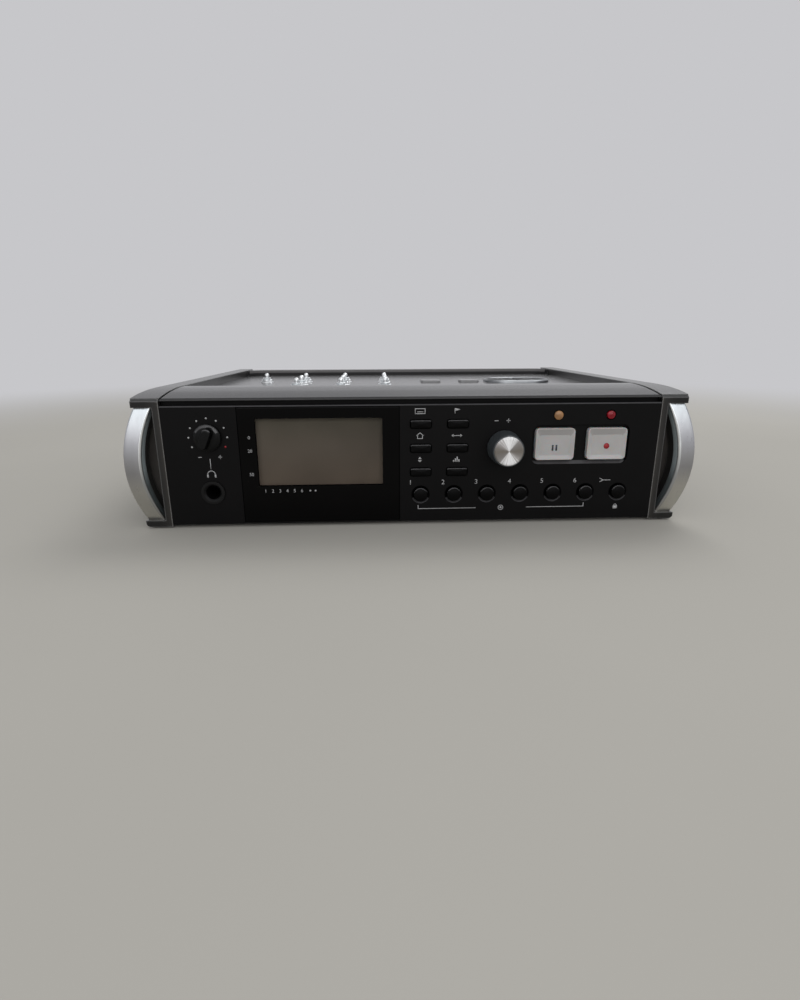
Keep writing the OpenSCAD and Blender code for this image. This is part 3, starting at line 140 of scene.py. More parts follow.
def lathe(profile, turns=48, flutes=0, cut=0.0, wide=0.891):
    # Radius and level turned about z, with radius - cut (1 + cos n a) / 2 where the radius is near its largest
    r, z = np.array(profile, float).T
    a = np.linspace(0, 2 * np.pi, turns, endpoint=False)
    rad = r[:, None] - cut * (1 + np.cos(flutes * a)) / 2 * (r[:, None] > wide * r.max())
    return np.dstack([rad * np.cos(a), rad * np.sin(a), np.broadcast_to(z[:, None], rad.shape)])


def arcProfile(r, level, edge, steps=5):  # quarter round from (r, level - edge) in to (r - edge, level)
    a = np.linspace(0, np.pi / 2, steps)
    return list(zip(r - edge * (1 - np.cos(a)), level - edge * (1 - np.sin(a))))


def shell(grid, wrap=False):  # quads round the rows, with flat ends unless the last row joins the first
    rows, cols = grid.shape[:2]
    index = np.arange(rows * cols).reshape(rows, cols)
    low, high = (index, np.roll(index, -1, 0)) if wrap else (index[:-1], index[1:])
    quads = np.stack([low, np.roll(low, -1, 1), np.roll(high, -1, 1), high], -1)
    ends = [] if wrap else [index[0][::-1].tolist(), index[-1].tolist()]
    return grid.reshape(-1, 3), quads.reshape(-1, 4).tolist() + ends


def sheet(grid):
    rows, cols = grid.shape[:2]
    i = np.arange(rows * cols).reshape(rows, cols)
    quads = np.stack([i[:-1, :-1], i[:-1, 1:], i[1:, 1:], i[1:, :-1]], -1)
    return grid.reshape(-1, 3), quads.reshape(-1, 4).tolist()


def moved(part, *places):
    points, faces = part
    for place in places:
        points = place(points)
    return points, faces


def merged(parts):
    points, faces, count = [], [], 0
    for p, f in parts:
        points.append(p)
        faces += [[i + count for i in face] for face in f]
        count += len(p)
    return np.concatenate(points), faces


# Flat marks: strips, discs and digits in the local plane
def line(path, width=0.35, closed=False):  # a strip of that width along the path, mitred at its corners
    p = np.array(path, float)
    if closed:
        ahead, behind = np.roll(p, -1, 0), np.roll(p, 1, 0)
    else:  # the ends run on straight
        ahead = np.vstack([p[1:], 2 * p[-1:] - p[-2:-1]])
        behind = np.vstack([2 * p[:1] - p[1:2], p[:-1]])
    into, out = p - behind, ahead - p
    into, out = (v / np.linalg.norm(v, axis=1, keepdims=True) for v in (into, out))
    mean = into + out
    mean /= np.linalg.norm(mean, axis=1, keepdims=True)
    reach = width / 2 / np.maximum((mean * out).sum(1, keepdims=True), 0.5)
    side = np.column_stack([-mean[:, 1], mean[:, 0]]) * reach
    grid = np.stack([p + side, p - side], 1)
    grid = np.concatenate([grid, grid[:1]]) if closed else grid
    return sheet(np.dstack([grid, np.zeros(grid.shape[:2])]))


def blob(path):  # filled convex outline, counter-clockwise
    p = np.array(path, float)
    return np.column_stack([p, np.zeros(len(p))]), [list(range(len(p)))]


def circle(r, x=0.0, y=0.0, start=0, end=360, steps=28):
    a = np.radians(np.linspace(start, end, steps, endpoint=end - start < 360))
    return np.column_stack([x + r * np.cos(a), y + r * np.sin(a)])


def box2d(w, h, x=0.0, y=0.0):
    return [(x - w / 2, y - h / 2), (x + w / 2, y - h / 2), (x + w / 2, y + h / 2), (x - w / 2, y + h / 2)]


def digits(text, size, x=0.0, y=0.0):  # text made a flat mesh about its own middle
    curve = bpy.data.curves.new("digits", "FONT")
    curve.body, curve.size, curve.align_x, curve.align_y = text, size * mm, "CENTER", "CENTER"
    holder = bpy.data.objects.new("digits", curve)
    scene.collection.objects.link(holder)
    made = bpy.data.meshes.new_from_object(holder.evaluated_get(bpy.context.evaluated_depsgraph_get()))
    points = np.empty(len(made.vertices) * 3)
    made.vertices.foreach_get("co", points)
    faces = [list(f.vertices) for f in made.polygons]
    bpy.data.objects.remove(holder)
    bpy.data.meshes.remove(made)
    return points.reshape(-1, 3) / mm + np.array([x, y, 0]), faces


# Materials
def feed(tree, socket, value):
    if isinstance(value, bpy.types.NodeSocket):
        tree.links.new(value, socket)
    else:
        socket.default_value = value


def node(tree, kind, props=None, **inputs):
    made = tree.nodes.new(kind)
    for key, value in (props or {}).items():
        setattr(made, key, value)
    for key, value in inputs.items():
        feed(tree, made.inputs[key.replace("_", " ")], value)
    return made


def maths(tree, operation, *values, kind="ShaderNodeVectorMath"):  # a maths node fed in the order of its sockets
    made = tree.nodes.new(kind)
    made.operation = operation
    for socket, value in zip(made.inputs, values):
        feed(tree, socket, value)
    return made.outputs


def objectPlace(tree):
    return node(tree, "ShaderNodeTexCoord").outputs["Object"]


def ramped(tree, share, stops):  # stops of place and colour, or place and grey
    ramp = node(tree, "ShaderNodeValToRGB", Fac=share)
    points = ramp.color_ramp.elements
    for place, tint in stops[1:-1]:
        points.new(place)
    for point, (place, tint) in zip(points, stops):
        point.position, point.color = place, (*np.broadcast_to(tint, 3), 1)
    return ramp.outputs[0]


def paint(name, base, rough, vary=0.12, patch=70, stretch=(1, 1, 1), grain=0.0, grainScale=2400, edge=0.0,
          drift=0.06, edgeHighlight=0.0, **sockets):
    # Colour drifts by +-vary over noise patches and roughness by +-drift over fine noise, grain is the bump
    # depth in mm, edge rounds sharp edges by that many mm, and a painted edge highlight lightens them by the turn of
    # the normal
    mat = bpy.data.materials.new(name)
    mat.use_nodes = True
    tree = mat.node_tree
    shader = tree.nodes["Principled BSDF"]
    place = node(tree, "ShaderNodeMapping", Scale=stretch, Vector=objectPlace(tree)).outputs[0]
    broad = node(tree, "ShaderNodeTexNoise", Vector=place, Scale=patch, Detail=4.0).outputs[0]
    fine = node(tree, "ShaderNodeTexNoise", Vector=place, Scale=grainScale, Detail=2.0).outputs[0]
    gains = ((0.3, 1 - vary), (0.7, 1 + vary))
    tint = ramped(tree, broad, [(at, [min(1, c * gain) for c in base]) for at, gain in gains])
    # painted highlight: the base colour is lightened where the rounded normal turns away from the true one
    if edgeHighlight:
        rounded = node(tree, "ShaderNodeBevel", {"samples": 6}, Radius=edge * mm).outputs[0]
        flat = node(tree, "ShaderNodeNewGeometry").outputs["True Normal"]
        turn = maths(tree, "DOT_PRODUCT", rounded, flat)["Value"]
        lift = node(tree, "ShaderNodeMapRange", Value=turn, From_Min=0.995, From_Max=0.88, To_Max=edgeHighlight).outputs[0]
        tint = maths(tree, "ADD", tint, lift)["Vector"]
    tree.links.new(tint, shader.inputs["Base Color"])
    spread = node(tree, "ShaderNodeMapRange", Value=fine, From_Min=0.3, From_Max=0.7,
                  To_Min=max(0, rough - drift), To_Max=rough + drift).outputs[0]
    tree.links.new(spread, shader.inputs["Roughness"])
    normal = node(tree, "ShaderNodeBevel", {"samples": 4}, Radius=edge * mm).outputs[0] if edge else None
    if grain:
        bump = node(tree, "ShaderNodeBump", Strength=1.0, Distance=grain * mm, Height=fine)
        if normal:
            tree.links.new(normal, bump.inputs["Normal"])
        normal = bump.outputs[0]
    if normal:
        tree.links.new(normal, shader.inputs["Normal"])
        tree.links.new(normal, shader.inputs["Coat Normal"])
    for key, value in sockets.items():
        shader.inputs[key.replace("_", " ")].default_value = value
    return mat


def coverPaint(name, coat):  # grey lacquer; copies with less coat on the brow's front faces are a painted shade
    return paint(name, (0.014, 0.0135, 0.0145), 0.42, grain=0.002, grainScale=1900, edge=0.5,
                 Specular_IOR_Level=0.15, Coat_Weight=coat, Coat_Roughness=0.17)


def graded(mat, axis, low, high, stops, fold=False):
    # Base colour times a ramp along an object axis, from low to high in mm, the same on both sides if folded
    tree = mat.node_tree
    base = tree.nodes["Principled BSDF"].inputs["Base Color"]
    at = node(tree, "ShaderNodeSeparateXYZ", Vector=objectPlace(tree)).outputs[axis]
    if fold:
        at = maths(tree, "ABSOLUTE", at, kind="ShaderNodeMath")["Value"]
    share = node(tree, "ShaderNodeMapRange", Value=at, From_Min=low * mm, From_Max=high * mm).outputs[0]
    times = maths(tree, "MULTIPLY", base.links[0].from_socket, ramped(tree, share, stops))
    tree.links.new(times["Vector"], base)


def paintSpunHighlight(mat, x, z):  # turned face: two painted highlight beams in the base colour by the angle about its middle, with fine streaks
    tree = mat.node_tree
    shader = tree.nodes["Principled BSDF"]
    away = maths(tree, "SUBTRACT", objectPlace(tree), (x * mm, 0, z * mm))["Vector"]
    flat = maths(tree, "MULTIPLY", away, (1, 0, 1))["Vector"]
    aim = maths(tree, "NORMALIZE", flat)["Vector"]
    height = node(tree, "ShaderNodeSeparateXYZ", Vector=aim).outputs["Z"]
    upward = maths(tree, "ABSOLUTE", height, kind="ShaderNodeMath")["Value"]
    streak = node(tree, "ShaderNodeTexNoise", Vector=aim, Scale=16.0, Detail=3.0).outputs[0]
    shift = node(tree, "ShaderNodeMapRange", Value=streak, From_Min=0.3, From_Max=0.7,
                 To_Min=-0.22, To_Max=0.22).outputs[0]
    share = maths(tree, "ADD", upward, shift, kind="ShaderNodeMath")["Value"]
    beams = ((0.0, (0.4, 0.37, 0.34)), (0.7, (0.44, 0.42, 0.41)), (0.9, 0.9), (1.0, 1))
    tree.links.new(ramped(tree, share, beams), shader.inputs["Base Color"])
    tangent = node(tree, "ShaderNodeTangent", {"direction_type": "RADIAL", "axis": "Y"})
    tree.links.new(tangent.outputs[0], shader.inputs["Tangent"])


looks = {  # by the names of the record's slots
    "tray_paint": paint("trayPaint", (0.02, 0.02, 0.022), 0.45, grain=0.004, edge=0.3),
    "cover_grey": coverPaint("coverGrey", 0.95),
    "panel_black": paint("panelBlack", (0.0032, 0.003, 0.0032), 0.45, grain=0.002, edge=0.25,
                         Specular_IOR_Level=0.1),
    # the frame's sharp edges get a painted highlight
    "frame_gunmetal": paint("frameGunmetal", (0.014, 0.0135, 0.0125), 0.4, grain=0.002, edge=0.8, edgeHighlight=0.14,
                            Coat_Weight=0.75, Coat_Roughness=0.22),
    "bar_silver": paint("barSilver", (0.5, 0.505, 0.51), 0.3, vary=0.05, patch=120, stretch=(1, 1, 0.02),
                        grain=0.0003, grainScale=900, drift=0.03, Metallic=1.0),
    "window_smoke": paint("windowSmoke", (0.0015, 0.0014, 0.0015), 0.06, vary=0.1, drift=0.0,
                          Specular_IOR_Level=0.08),
    "display_glass": paint("displayGlass", (0.3, 0.25, 0.2), 0.4, vary=0.3, patch=16, Specular_IOR_Level=0.2),
    "board_green": paint("boardGreen", (0.02, 0.09, 0.035), 0.5, grain=0.004),
    "cell_sleeve": paint("cellSleeve", (0.16, 0.16, 0.17), 0.35, edge=0.2),
    "tray_plastic": paint("trayPlastic", (0.018, 0.018, 0.019), 0.5, grain=0.004, edge=0.3),
    "foot_rubber": paint("footRubber", (0.012, 0.012, 0.012), 0.8, grain=0.006),
    "screw_black": paint("screwBlack", (0.03, 0.03, 0.032), 0.32, Metallic=0.8),
    "plain_steel": paint("plainSteel", (0.5, 0.5, 0.5), 0.35, Metallic=1.0),
    "knob_black": paint("knobBlack", (0.003, 0.0032, 0.0033), 0.34, grain=0.002, edge=0.15,
                        Specular_IOR_Level=0.16),
    "cap_aluminium": paint("capAluminium", (0.85, 0.84, 0.835), 0.42, vary=0.04, Metallic=1.0,
                           Anisotropic=1.0, Anisotropic_Rotation=0.25),
    "key_white": paint("keyWhite", (0.4, 0.39, 0.385), 0.34, vary=0.05, patch=90,
                       Subsurface_Weight=0.4, Subsurface_Scale=0.003),
    "lamp_lens": paint("lampAmber", (0.27, 0.14, 0.06), 0.18, vary=0.3, patch=420, Specular_IOR_Level=0.4),
    "toggle_chrome": paint("toggleChrome", (0.9, 0.92, 0.93), 0.34, vary=0.05, drift=0.0, Metallic=0.9),
    "jack_black": paint("jackBlack", (0.005, 0.005, 0.0052), 0.33, grain=0.002, edge=0.2,
                        Specular_IOR_Level=0.2),
    "phono_metal": paint("phonoMetal", (0.68, 0.66, 0.6), 0.2, vary=0.06, edge=0.15, Metallic=1.0),
    "key_black": paint("keyBlack", (0.0018, 0.0017, 0.0018), 0.4, grain=0.0015, edge=0.1,
                       Specular_IOR_Level=0.07),
}
# painted shade: the brow's middle and front faces reflect less, so they read darker
browMiddleShade = coverPaint("browMiddleShade", 0.8)
browFrontShade = coverPaint("browFrontShade", 0.66)
windowClear = paint("windowClear", (0.003, 0.0028, 0.003), 0.06, vary=0.1, drift=0.0,
                    Specular_IOR_Level=0.08, Alpha=0.28)
# painted light and shade for the bars' inner sides: a lighter non-metal copy of the bar
barSideShading = paint("barSideShading", (0.3, 0.345, 0.355), 0.4, vary=0.06, patch=120, stretch=(1, 1, 0.05))
# painted highlight for the bars' inner front edges
barEdgeHighlight = paint("barEdgeHighlight", (0.93, 0.96, 0.98), 0.28, vary=0.04, patch=120, drift=0.0, Metallic=1.0)
# painted highlight for the panel's edges and slopes that face up and forward
panelEdgeHighlight = paint("panelEdgeHighlight", (0.05, 0.049, 0.052), 0.35, vary=0.15, patch=300)
ringChrome = paint("ringChrome", (0.28, 0.29, 0.3), 0.3, vary=0.4, patch=90, drift=0.0, Metallic=1.0)
padGrey = paint("padGrey", (0.05, 0.05, 0.052), 0.6, grain=0.002, edge=0.2, Specular_IOR_Level=0.15)
# painted light and shadow for the rear rim's inner face: pale above, with a painted shadow line at its foot
rimLightAndShadow = paint("rimLightAndShadow", (0.17, 0.164, 0.164), 0.5, vary=0.06, grain=0.002, Specular_IOR_Level=0.2)
# painted highlight for the top edges of the keys and the knob
keyEdgeHighlight = paint("keyEdgeHighlight", (0.05, 0.049, 0.051), 0.24, vary=0.35, patch=500)
# painted shade for the big keys' downward-facing borders
keyShade = paint("keyShade", (0.31, 0.3, 0.295), 0.38, vary=0.05, patch=90)
# frame front faces: a darker copy of the frame paint, as painted shade, with painted edge highlights
frameFrontShading = paint("frameFrontShading", (0.016, 0.015, 0.0138), 0.42, grain=0.002, edge=0.8, edgeHighlight=0.12,
                   Specular_IOR_Level=0.3)
# painted light: the set-back ribs are the frame paint made lighter, so they don't fall black in their shadow
frameRibLit = paint("frameRibLit", (0.058, 0.052, 0.047), 0.5, grain=0.002)
deckKey = paint("deckKey", (0.21, 0.208, 0.212), 0.45, grain=0.002, edge=0.3,
                Coat_Weight=0.6, Coat_Roughness=0.25)
dialSlate = paint("dialSlate", (0.04, 0.046, 0.05), 0.38, grain=0.002, edge=0.1)
redLens = paint("lampRed", (0.24, 0.003, 0.012), 0.14, vary=0.3, patch=420, Specular_IOR_Level=0.35)
inkPale = paint("inkPale", (0.36, 0.36, 0.365), 0.6, vary=0.08, patch=400)
inkDark = paint("inkDark", (0.03, 0.03, 0.035), 0.5, vary=0.1, patch=400)
inkRed = paint("inkRed", (0.3, 0.012, 0.018), 0.5, vary=0.1, patch=400)
whiteRing = paint("insulatorWhite", (0.6, 0.6, 0.58), 0.45, vary=0.05)
redRing = paint("insulatorRed", (0.4, 0.02, 0.025), 0.45, vary=0.08)

tones = {"frame": (112, 118), "rim": (58.2, 61.8), "bar": (4, 58), "glass": (20, 50)}  # from and to in mm
# painted shade: the frame fronts are lighter next to the panel and darker out towards the bars
graded(frameFrontShading, 0, *tones["frame"], ((0.0, (1.7, 1.65, 1.6)), (0.3, 1), (1.0, 0.5)), fold=True)
# painted shadow line at the rim's foot, with painted light above it
graded(rimLightAndShadow, 2, *tones["rim"], ((0.0, 0.1), (0.42, (0.16, 0.16, 0.17)), (0.56, 0.8), (1.0, 1)))
# painted reflection on the grab bars: warm near the foot, darker in the middle, bluish at the top
graded(looks["bar_silver"], 2, *tones["bar"], (
    (0.0, (1.08, 1.05, 0.96)), (0.25, (1, 0.97, 0.9)), (0.42, (0.7, 0.69, 0.71)),
    (0.72, (1, 1, 1.03)), (1.0, (0.97, 1.04, 1.07))))
# painted shade: the bars' inner sides are darker towards the foot
graded(barSideShading, 2, *tones["bar"], ((0.0, 0.2), (0.3, 0.35), (0.45, 1), (1.0, 1.2)))
# painted highlight fading to painted shade towards the bars' foot
graded(barEdgeHighlight, 2, *tones["bar"], ((0.0, (0.4, 0.38, 0.36)), (0.35, 0.45), (0.6, 1), (1.0, 1)))
# painted light and shade on the display: darker and greener towards the top, warmer towards the bottom
graded(looks["display_glass"], 2, *tones["glass"], ((0.0, (1.12, 1.06, 1.02)), (0.55, 1), (1.0, (0.7, 0.75, 0.72))))
for cad in frame["nodes"].values():
    cad.data.materials[0] = looks[cad.data.materials[0].name]
print("materials made")


def piece(name, parts, slot, body, *replaced, look=None, crease=38, depth=0.0):
    points, faces = merged(parts)
    mesh = bpy.data.meshes.new(name)
    mesh.from_pydata((points * mm).tolist(), [], faces)
    mesh.polygons.foreach_set("use_smooth", np.ones(len(mesh.polygons), bool))
    mesh.set_sharp_from_angle(angle=math.radians(crease))
    mesh.materials.append(look or looks[slot])
    obj = bpy.data.objects.new(name, mesh)
    scene.collection.objects.link(obj)
    if depth:
        thick = obj.modifiers.new("depth", "SOLIDIFY")
        thick.thickness, thick.offset = depth * mm, -1
    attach(obj, body)
    if replaced:
        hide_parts(*replaced)
    return obj


ink = {"depth": 0.05, "lift": 0.04, "keyLift": 0.03}


def inkPiece(name, parts, slot, body, look=inkPale):
    return piece(name, parts, slot, body, look=look, depth=ink["depth"])


def faced(mesh, look, pick):  # a second look on the faces picked by their normals and middles in mm
    read = {key: np.empty(len(mesh.polygons) * 3) for key in ("normal", "center")}
    for key, values in read.items():
        mesh.polygons.foreach_get(key, values)
    index = np.empty(len(mesh.polygons), np.int32)
    mesh.polygons.foreach_get("material_index", index)
    mesh.materials.append(look)
    index[pick(read["normal"].reshape(-1, 3), read["center"].reshape(-1, 3) / mm)] = len(mesh.materials) - 1
    mesh.polygons.foreach_set("material_index", index)


def upAhead(n, c):  # edges that face the front and up
    return (n[:, 2] > 0.3) & (n[:, 1] < -0.12)


# Second looks on the case, with painted light and shade: frame fronts and ribs, the panel's upper edge, the brow and
# the rear rim
ribFrom, ribTo = frontY + 3, frontY + 25
for name in ("left_side_frame", "right_side_frame"):
    mesh = frame["nodes"][name].data
    # painted shade on the frame's front faces
    faced(mesh, frameFrontShading, lambda n, c: (n[:, 1] < -0.8) & (c[:, 1] < ribFrom))
    # painted light on the set-back ribs
    faced(mesh, frameRibLit, lambda n, c: (n[:, 1] < -0.3) & (c[:, 1] > ribFrom) & (c[:, 1] < ribTo))
# painted highlight on the panel's up-facing edges
faced(frame["nodes"]["front_panel"].data, panelEdgeHighlight, upAhead)
cover = frame["nodes"]["top_cover"].data
brow = {"up": 0.9, "middle": -0.05, "front": -0.11}  # limits of the normal's z and y
rearRim = {"from": rearY - 15, "low": 58}
# painted shade on the brow's forward-facing faces
faced(cover, browMiddleShade, lambda n, c: (n[:, 2] > brow["up"]) & (n[:, 1] < brow["middle"]))
faced(cover, browFrontShade, lambda n, c: (n[:, 2] > brow["up"]) & (n[:, 1] < brow["front"]))
# painted light and shadow on the rear rim's inner face
faced(cover, rimLightAndShadow, lambda n, c: (n[:, 1] < -0.3) & (c[:, 1] > rearRim["from"]) & (c[:, 2] > rearRim["low"]))

# Grab bars: a rounded section carried up the height, bowed outwards and swollen forwards on arcs
bar = {"bow": 6.1, "outerBow": 5.8, "swell": 4.0, "depth": 5.3, "edge": 0.75, "innerEdge": 2.1, "rows": 49}


def sag(z, half, rise):  # fall of an arc of that rise at distance z from its middle
    r = (half ** 2 + rise ** 2) / (2 * rise)
    return r - np.sqrt(r ** 2 - z ** 2)


for side, name, made in ((-1, "left_grab_bar", "grabBarLeft"), (1, "right_grab_bar", "grabBarRight")):
    low, high, mid = nodeBox(name)
    half = (high[2] - low[2]) / 2
    z = np.linspace(-half, half, bar["rows"])
    reach = np.sort(np.abs([low[0], high[0]]))
    inner = reach[0] + bar["bow"] - sag(z, half, bar["bow"])
    outer = reach[1] - sag(z, half, bar["outerBow"])
    front = low[1] + sag(z, half, bar["swell"])
    depth, edge = np.full_like(z, bar["depth"]), np.full_like(z, bar["edge"])
    rows = np.column_stack([outer - inner, depth, edge, side * (inner + outer) / 2, front + depth / 2, mid[2] + z])
    corners = (1, 1, 1, bar["innerEdge"]) if side < 0 else (1, 1, bar["innerEdge"], 1)
    mesh = piece(made, [shell(stack(rows, corners))], "bar_silver", "case", name).data
    # painted light and shade on the inner sides
    faced(mesh, barSideShading, lambda n, c: (-side * n[:, 0] > 0.3) & (np.abs(n[:, 1]) < 0.3))
    # painted highlight on the inner front edges
    faced(mesh, barEdgeHighlight, lambda n, c: (-side * n[:, 0] > 0.25) & (n[:, 1] <= -0.3))
print("grab bars made")

# Display window, a thin pane over the panel's own black ledge, clear over the display
pane = {"edge": 0.25, "thick": 1.85, "r": 0.6, "x": -42.8, "z": 35.0, "w": 56.6, "h": 30.8, "clearR": 0.3}
k = pane
low, high, mid = nodeBox("display_window")
rows = insets(high[0] - low[0], high[2] - low[2], k["r"], [
    (0, -k["thick"]), (0, -k["edge"]), (0.08, -0.08), (k["edge"], 0), (k["edge"] + 0.2, 0)])
clear = (k["w"], k["h"], k["clearR"], k["x"] - mid[0], k["z"] - mid[2])
rows = [clear + (-k["thick"],)] + rows + [clear + (0,)]
window = piece("windowPane", [moved(shell(stack(rows)), overNode("display_window"))], "window_smoke", "case",
               "display_window", crease=50)
window.data.materials.append(windowClear)
for face in window.data.polygons[-2:]:  # the two ends of the shell
    face.material_index = 1

# Pause and record keys: a face sunk between four sloping borders
bigKey = {"w": 18.0, "h": 14.6, "r": 1.6, "root": -2.2, "out": 1.0, "rim": 0.5, "face": 0.3,
          "top": 2.6, "low": 1.5, "side": 1.5}
k = bigKey
rimW, rimH = k["w"] - 2 * k["rim"], k["h"] - 2 * k["rim"]
faceW, faceH, faceY = rimW - 2 * k["side"], rimH - k["top"] - k["low"], (k["low"] - k["top"]) / 2
rows = insets(k["w"], k["h"], k["r"], [
    (0, k["root"]), (0, k["out"] - 0.3), (0.08, k["out"] - 0.08), (0.28, k["out"]), (0.42, k["out"] - 0.02)])
rows += [(rimW - 0.3, rimH - 0.3, 1.45, 0, -0.03, k["out"] - 0.12),
         (faceW + 0.35, faceH + 0.35, 0.9, 0, faceY, k["face"] + 0.09),
         (faceW - 0.1, faceH - 0.1, 0.75, 0, faceY, k["face"] + 0.01),
         (faceW - 0.5, faceH - 0.5, 0.6, 0, faceY, k["face"])]
keyBody = shell(dome(stack(rows), 0.0))
keySigns = {"pause_key": ([blob(box2d(0.8, 2.6, s * 0.85, -1.7)) for s in (-1, 1)], inkDark),
            "record_key": ([blob(circle(1.35, 0.1, -1.1))], inkRed)}
for name in keySigns:
    made = piece(name.replace("_key", "Cap"), [moved(keyBody, overNode(name))], "key_white", name, name, crease=30)
    # painted shade on the downward-facing top border
    faced(made.data, keyShade, lambda n, c: (n[:, 2] < -0.1) & (n[:, 1] < -0.3))
for name, (parts, look) in keySigns.items():
    raised = shifted(0, 0, k["face"] + ink["lift"])
    inkPiece(name.replace("_key", "Sign"), [moved(p, raised, overNode(name)) for p in parts], "key_white", name, look)


def roundedCap(k):  # straight sides from the root, a quarter round at the top and a low crown
    edge = [(k["w"] / 2 - r, z) for r, z in arcProfile(k["w"] / 2, k["out"], k["edge"])]
    return shell(dome(stack(insets(k["w"], k["h"], k["r"], [(0, k["root"])] + edge)), k["crown"]))


# Function keys, flat bars with a low crown
funcKey = {"w": 9.4, "h": 3.6, "r": 0.9, "out": 1.05, "edge": 0.5, "crown": 0.22, "root": -2.0}
for i in range(1, 7):
    name = f"function_key_{i}"
    made = piece(f"functionCap{i}", [moved(roundedCap(funcKey), overNode(name))], "key_black", name, name)
    # painted highlight on the key's top edge
    faced(made.data, keyEdgeHighlight, upAhead)


def roundCap(k, r, turns):  # the same, round
    return shell(dome(lathe([(r, k["root"])] + arcProfile(r, k["out"], k["edge"]), turns), k["crown"]))


# Track keys, round with a domed face
trackKey = {"r": 3.25, "out": 1.15, "edge": 0.45, "crown": 0.45, "root": -2.0}
for i in range(1, 8):
    name, made = (f"track_key_{i}", f"trackCap{i}") if i < 7 else ("mix_key", "mixCap")
    cap = moved(roundCap(trackKey, trackKey["r"], 40), overNode(name))
    # painted highlight on the key's upper rim
    faced(piece(made, [cap], "key_black", name, name).data, keyEdgeHighlight, upAhead)
print("panel keys made")

# Status lamps: low lenses at the ends of their node
lamp = {"r": 2.1, "amber": 2.05, "red": 1.85, "out": 0.45, "edge": 0.3, "crown": 0.45, "root": -3.0}
k = lamp
low, high, mid = nodeBox("status_leds")
amber = moved(roundCap(k, k["amber"], 36), onPanel(low[0] + k["r"], mid[2]))
red = moved(roundCap(k, k["red"], 36), onPanel(high[0] - k["r"], mid[2]))
piece("lampAmber", [amber], "lamp_lens", "case", "status_leds")
piece("lampRed", [red], "lamp_lens", "case", look=redLens)

# Phones knob: a thin disc with a tapering grip across it
knob = {"x": -92.0, "z": 42.3, "r": 6.0, "gap": 0.6, "bore": 1.6, "disc": 2.8, "bevel": 1.2, "top": 6.8,
        "grip": 4.2, "gripL": 10.2, "gripR": 1.9, "turn": -24}
k = knob
disc = [(k["bore"], k["gap"]), (k["r"], k["gap"])] + arcProfile(k["r"], k["disc"] - k["bevel"] + 0.3, 0.3, 4) + [
    (k["r"] - k["bevel"], k["disc"] - 0.12), (k["r"] - k["bevel"] - 0.4, k["disc"])]
taper = ((0.2, 0.4, k["disc"] - 0.6), (0, 0, k["disc"] + 0.4), (-0.35, -0.7, k["top"] - 0.5),
         (-0.5, -0.9, k["top"] - 0.18), (-0.9, -1.4, k["top"]))
grip = [(k["grip"] + dw, k["gripL"] + dh, k["gripR"] + dw / 2, 0, 0, z) for dw, dh, z in taper]
parts = (shell(lathe(disc, 64)), shell(dome(stack(grip), 0.0)))
made = piece("phonesKnob", [moved(part, turned(k["turn"]), onPanel(k["x"], k["z"])) for part in parts],
             "knob_black", "phones_control", "phones_knob")
# painted highlight on the knob's up-facing edges
faced(made.data, keyEdgeHighlight, upAhead)

# Value dial: fluted skirt with a spun cap let into its end
dial = {"x": 40.8, "z": 36.4, "r": 7.9, "topR": 7.0, "gap": 0.6, "end": 10.0, "capR": 6.45, "capLow": 9.1,
        "face": 10.5, "flutes": 72, "cut": 0.16, "turns": 576}
k = dial
# painted highlight beams on the cap
paintSpunHighlight(looks["cap_aluminium"], k["x"], k["z"])
along = np.linspace(0, 1, 12)
skirt = list(zip(k["r"] + (k["topR"] - k["r"]) * along, k["gap"] + (k["end"] - 0.5 - k["gap"]) * along))
rim = arcProfile(k["topR"] - 0.03, k["end"], 0.4, 5) + [
    (k["capR"] + 0.05, k["end"] - 0.02), (k["capR"] + 0.05, k["capLow"])]
body = shell(np.concatenate([lathe(skirt, k["turns"], k["flutes"], k["cut"]), lathe(rim, k["turns"])]))
piece("valueDial", [moved(body, onPanel(k["x"], k["z"]))], "knob_black", "value_control", "value_dial",
      look=dialSlate)
cap = [(k["capR"], k["capLow"] + 0.1), (k["capR"], k["face"] - 0.45), (k["capR"] - 0.4, k["face"] - 0.04),
       (k["capR"] - 0.55, k["face"])]
piece("valueCap", [moved(shell(dome(lathe(cap, 96), 0.0, 8)), onPanel(k["x"], k["z"]))], "cap_aluminium",
      "value_control", "value_dial_cap", crease=20)
print("knobs made")

# Deck: transport ring, a half round carried about a rounded outline, and its four keys
ring = {"w": 40.0, "l": 30.0, "r": 13.0, "rim": 2.0, "h": 1.6, "root": -1.4, "out": 1.2, "padRoot": -1.6,
        "gap": 0.3, "split": 1.4}
k = ring
low, high, mid = nodeBox("transport_trim")
deckZ = high[2] - k["h"]
padX, padY = mid[0], mid[1]
a = np.linspace(0, np.pi, 9)
rimR = k["rim"] / 2
section = [(0, k["root"])] + list(zip(rimR * (1 - np.cos(a)), k["h"] - rimR + rimR * np.sin(a))) + [
    (k["rim"], k["root"])]
trim = shell(stack(insets(k["w"], k["l"], k["r"], section)), wrap=True)
piece("transportRing", [moved(trim, onDeck(padX, padY, deckZ))], "toggle_chrome", "case", "transport_trim",
      look=ringChrome)
quarterW, quarterL = ((k[size] / 2 - k["rim"] - k["gap"]) - k["split"] / 2 for size in ("w", "l"))
padR = k["r"] - k["rim"] - k["gap"]
pads = {"rewind_key": (-1, 1, 1), "forward_key": (1, 1, 0), "stop_key": (-1, -1, 2), "play_key": (1, -1, 3)}
arrow = [(-1.3, -1.3), (1.1, 0), (-1.3, 1.3)]
back = [(1.3, 1.3), (-1.1, 0), (1.3, -1.3)]
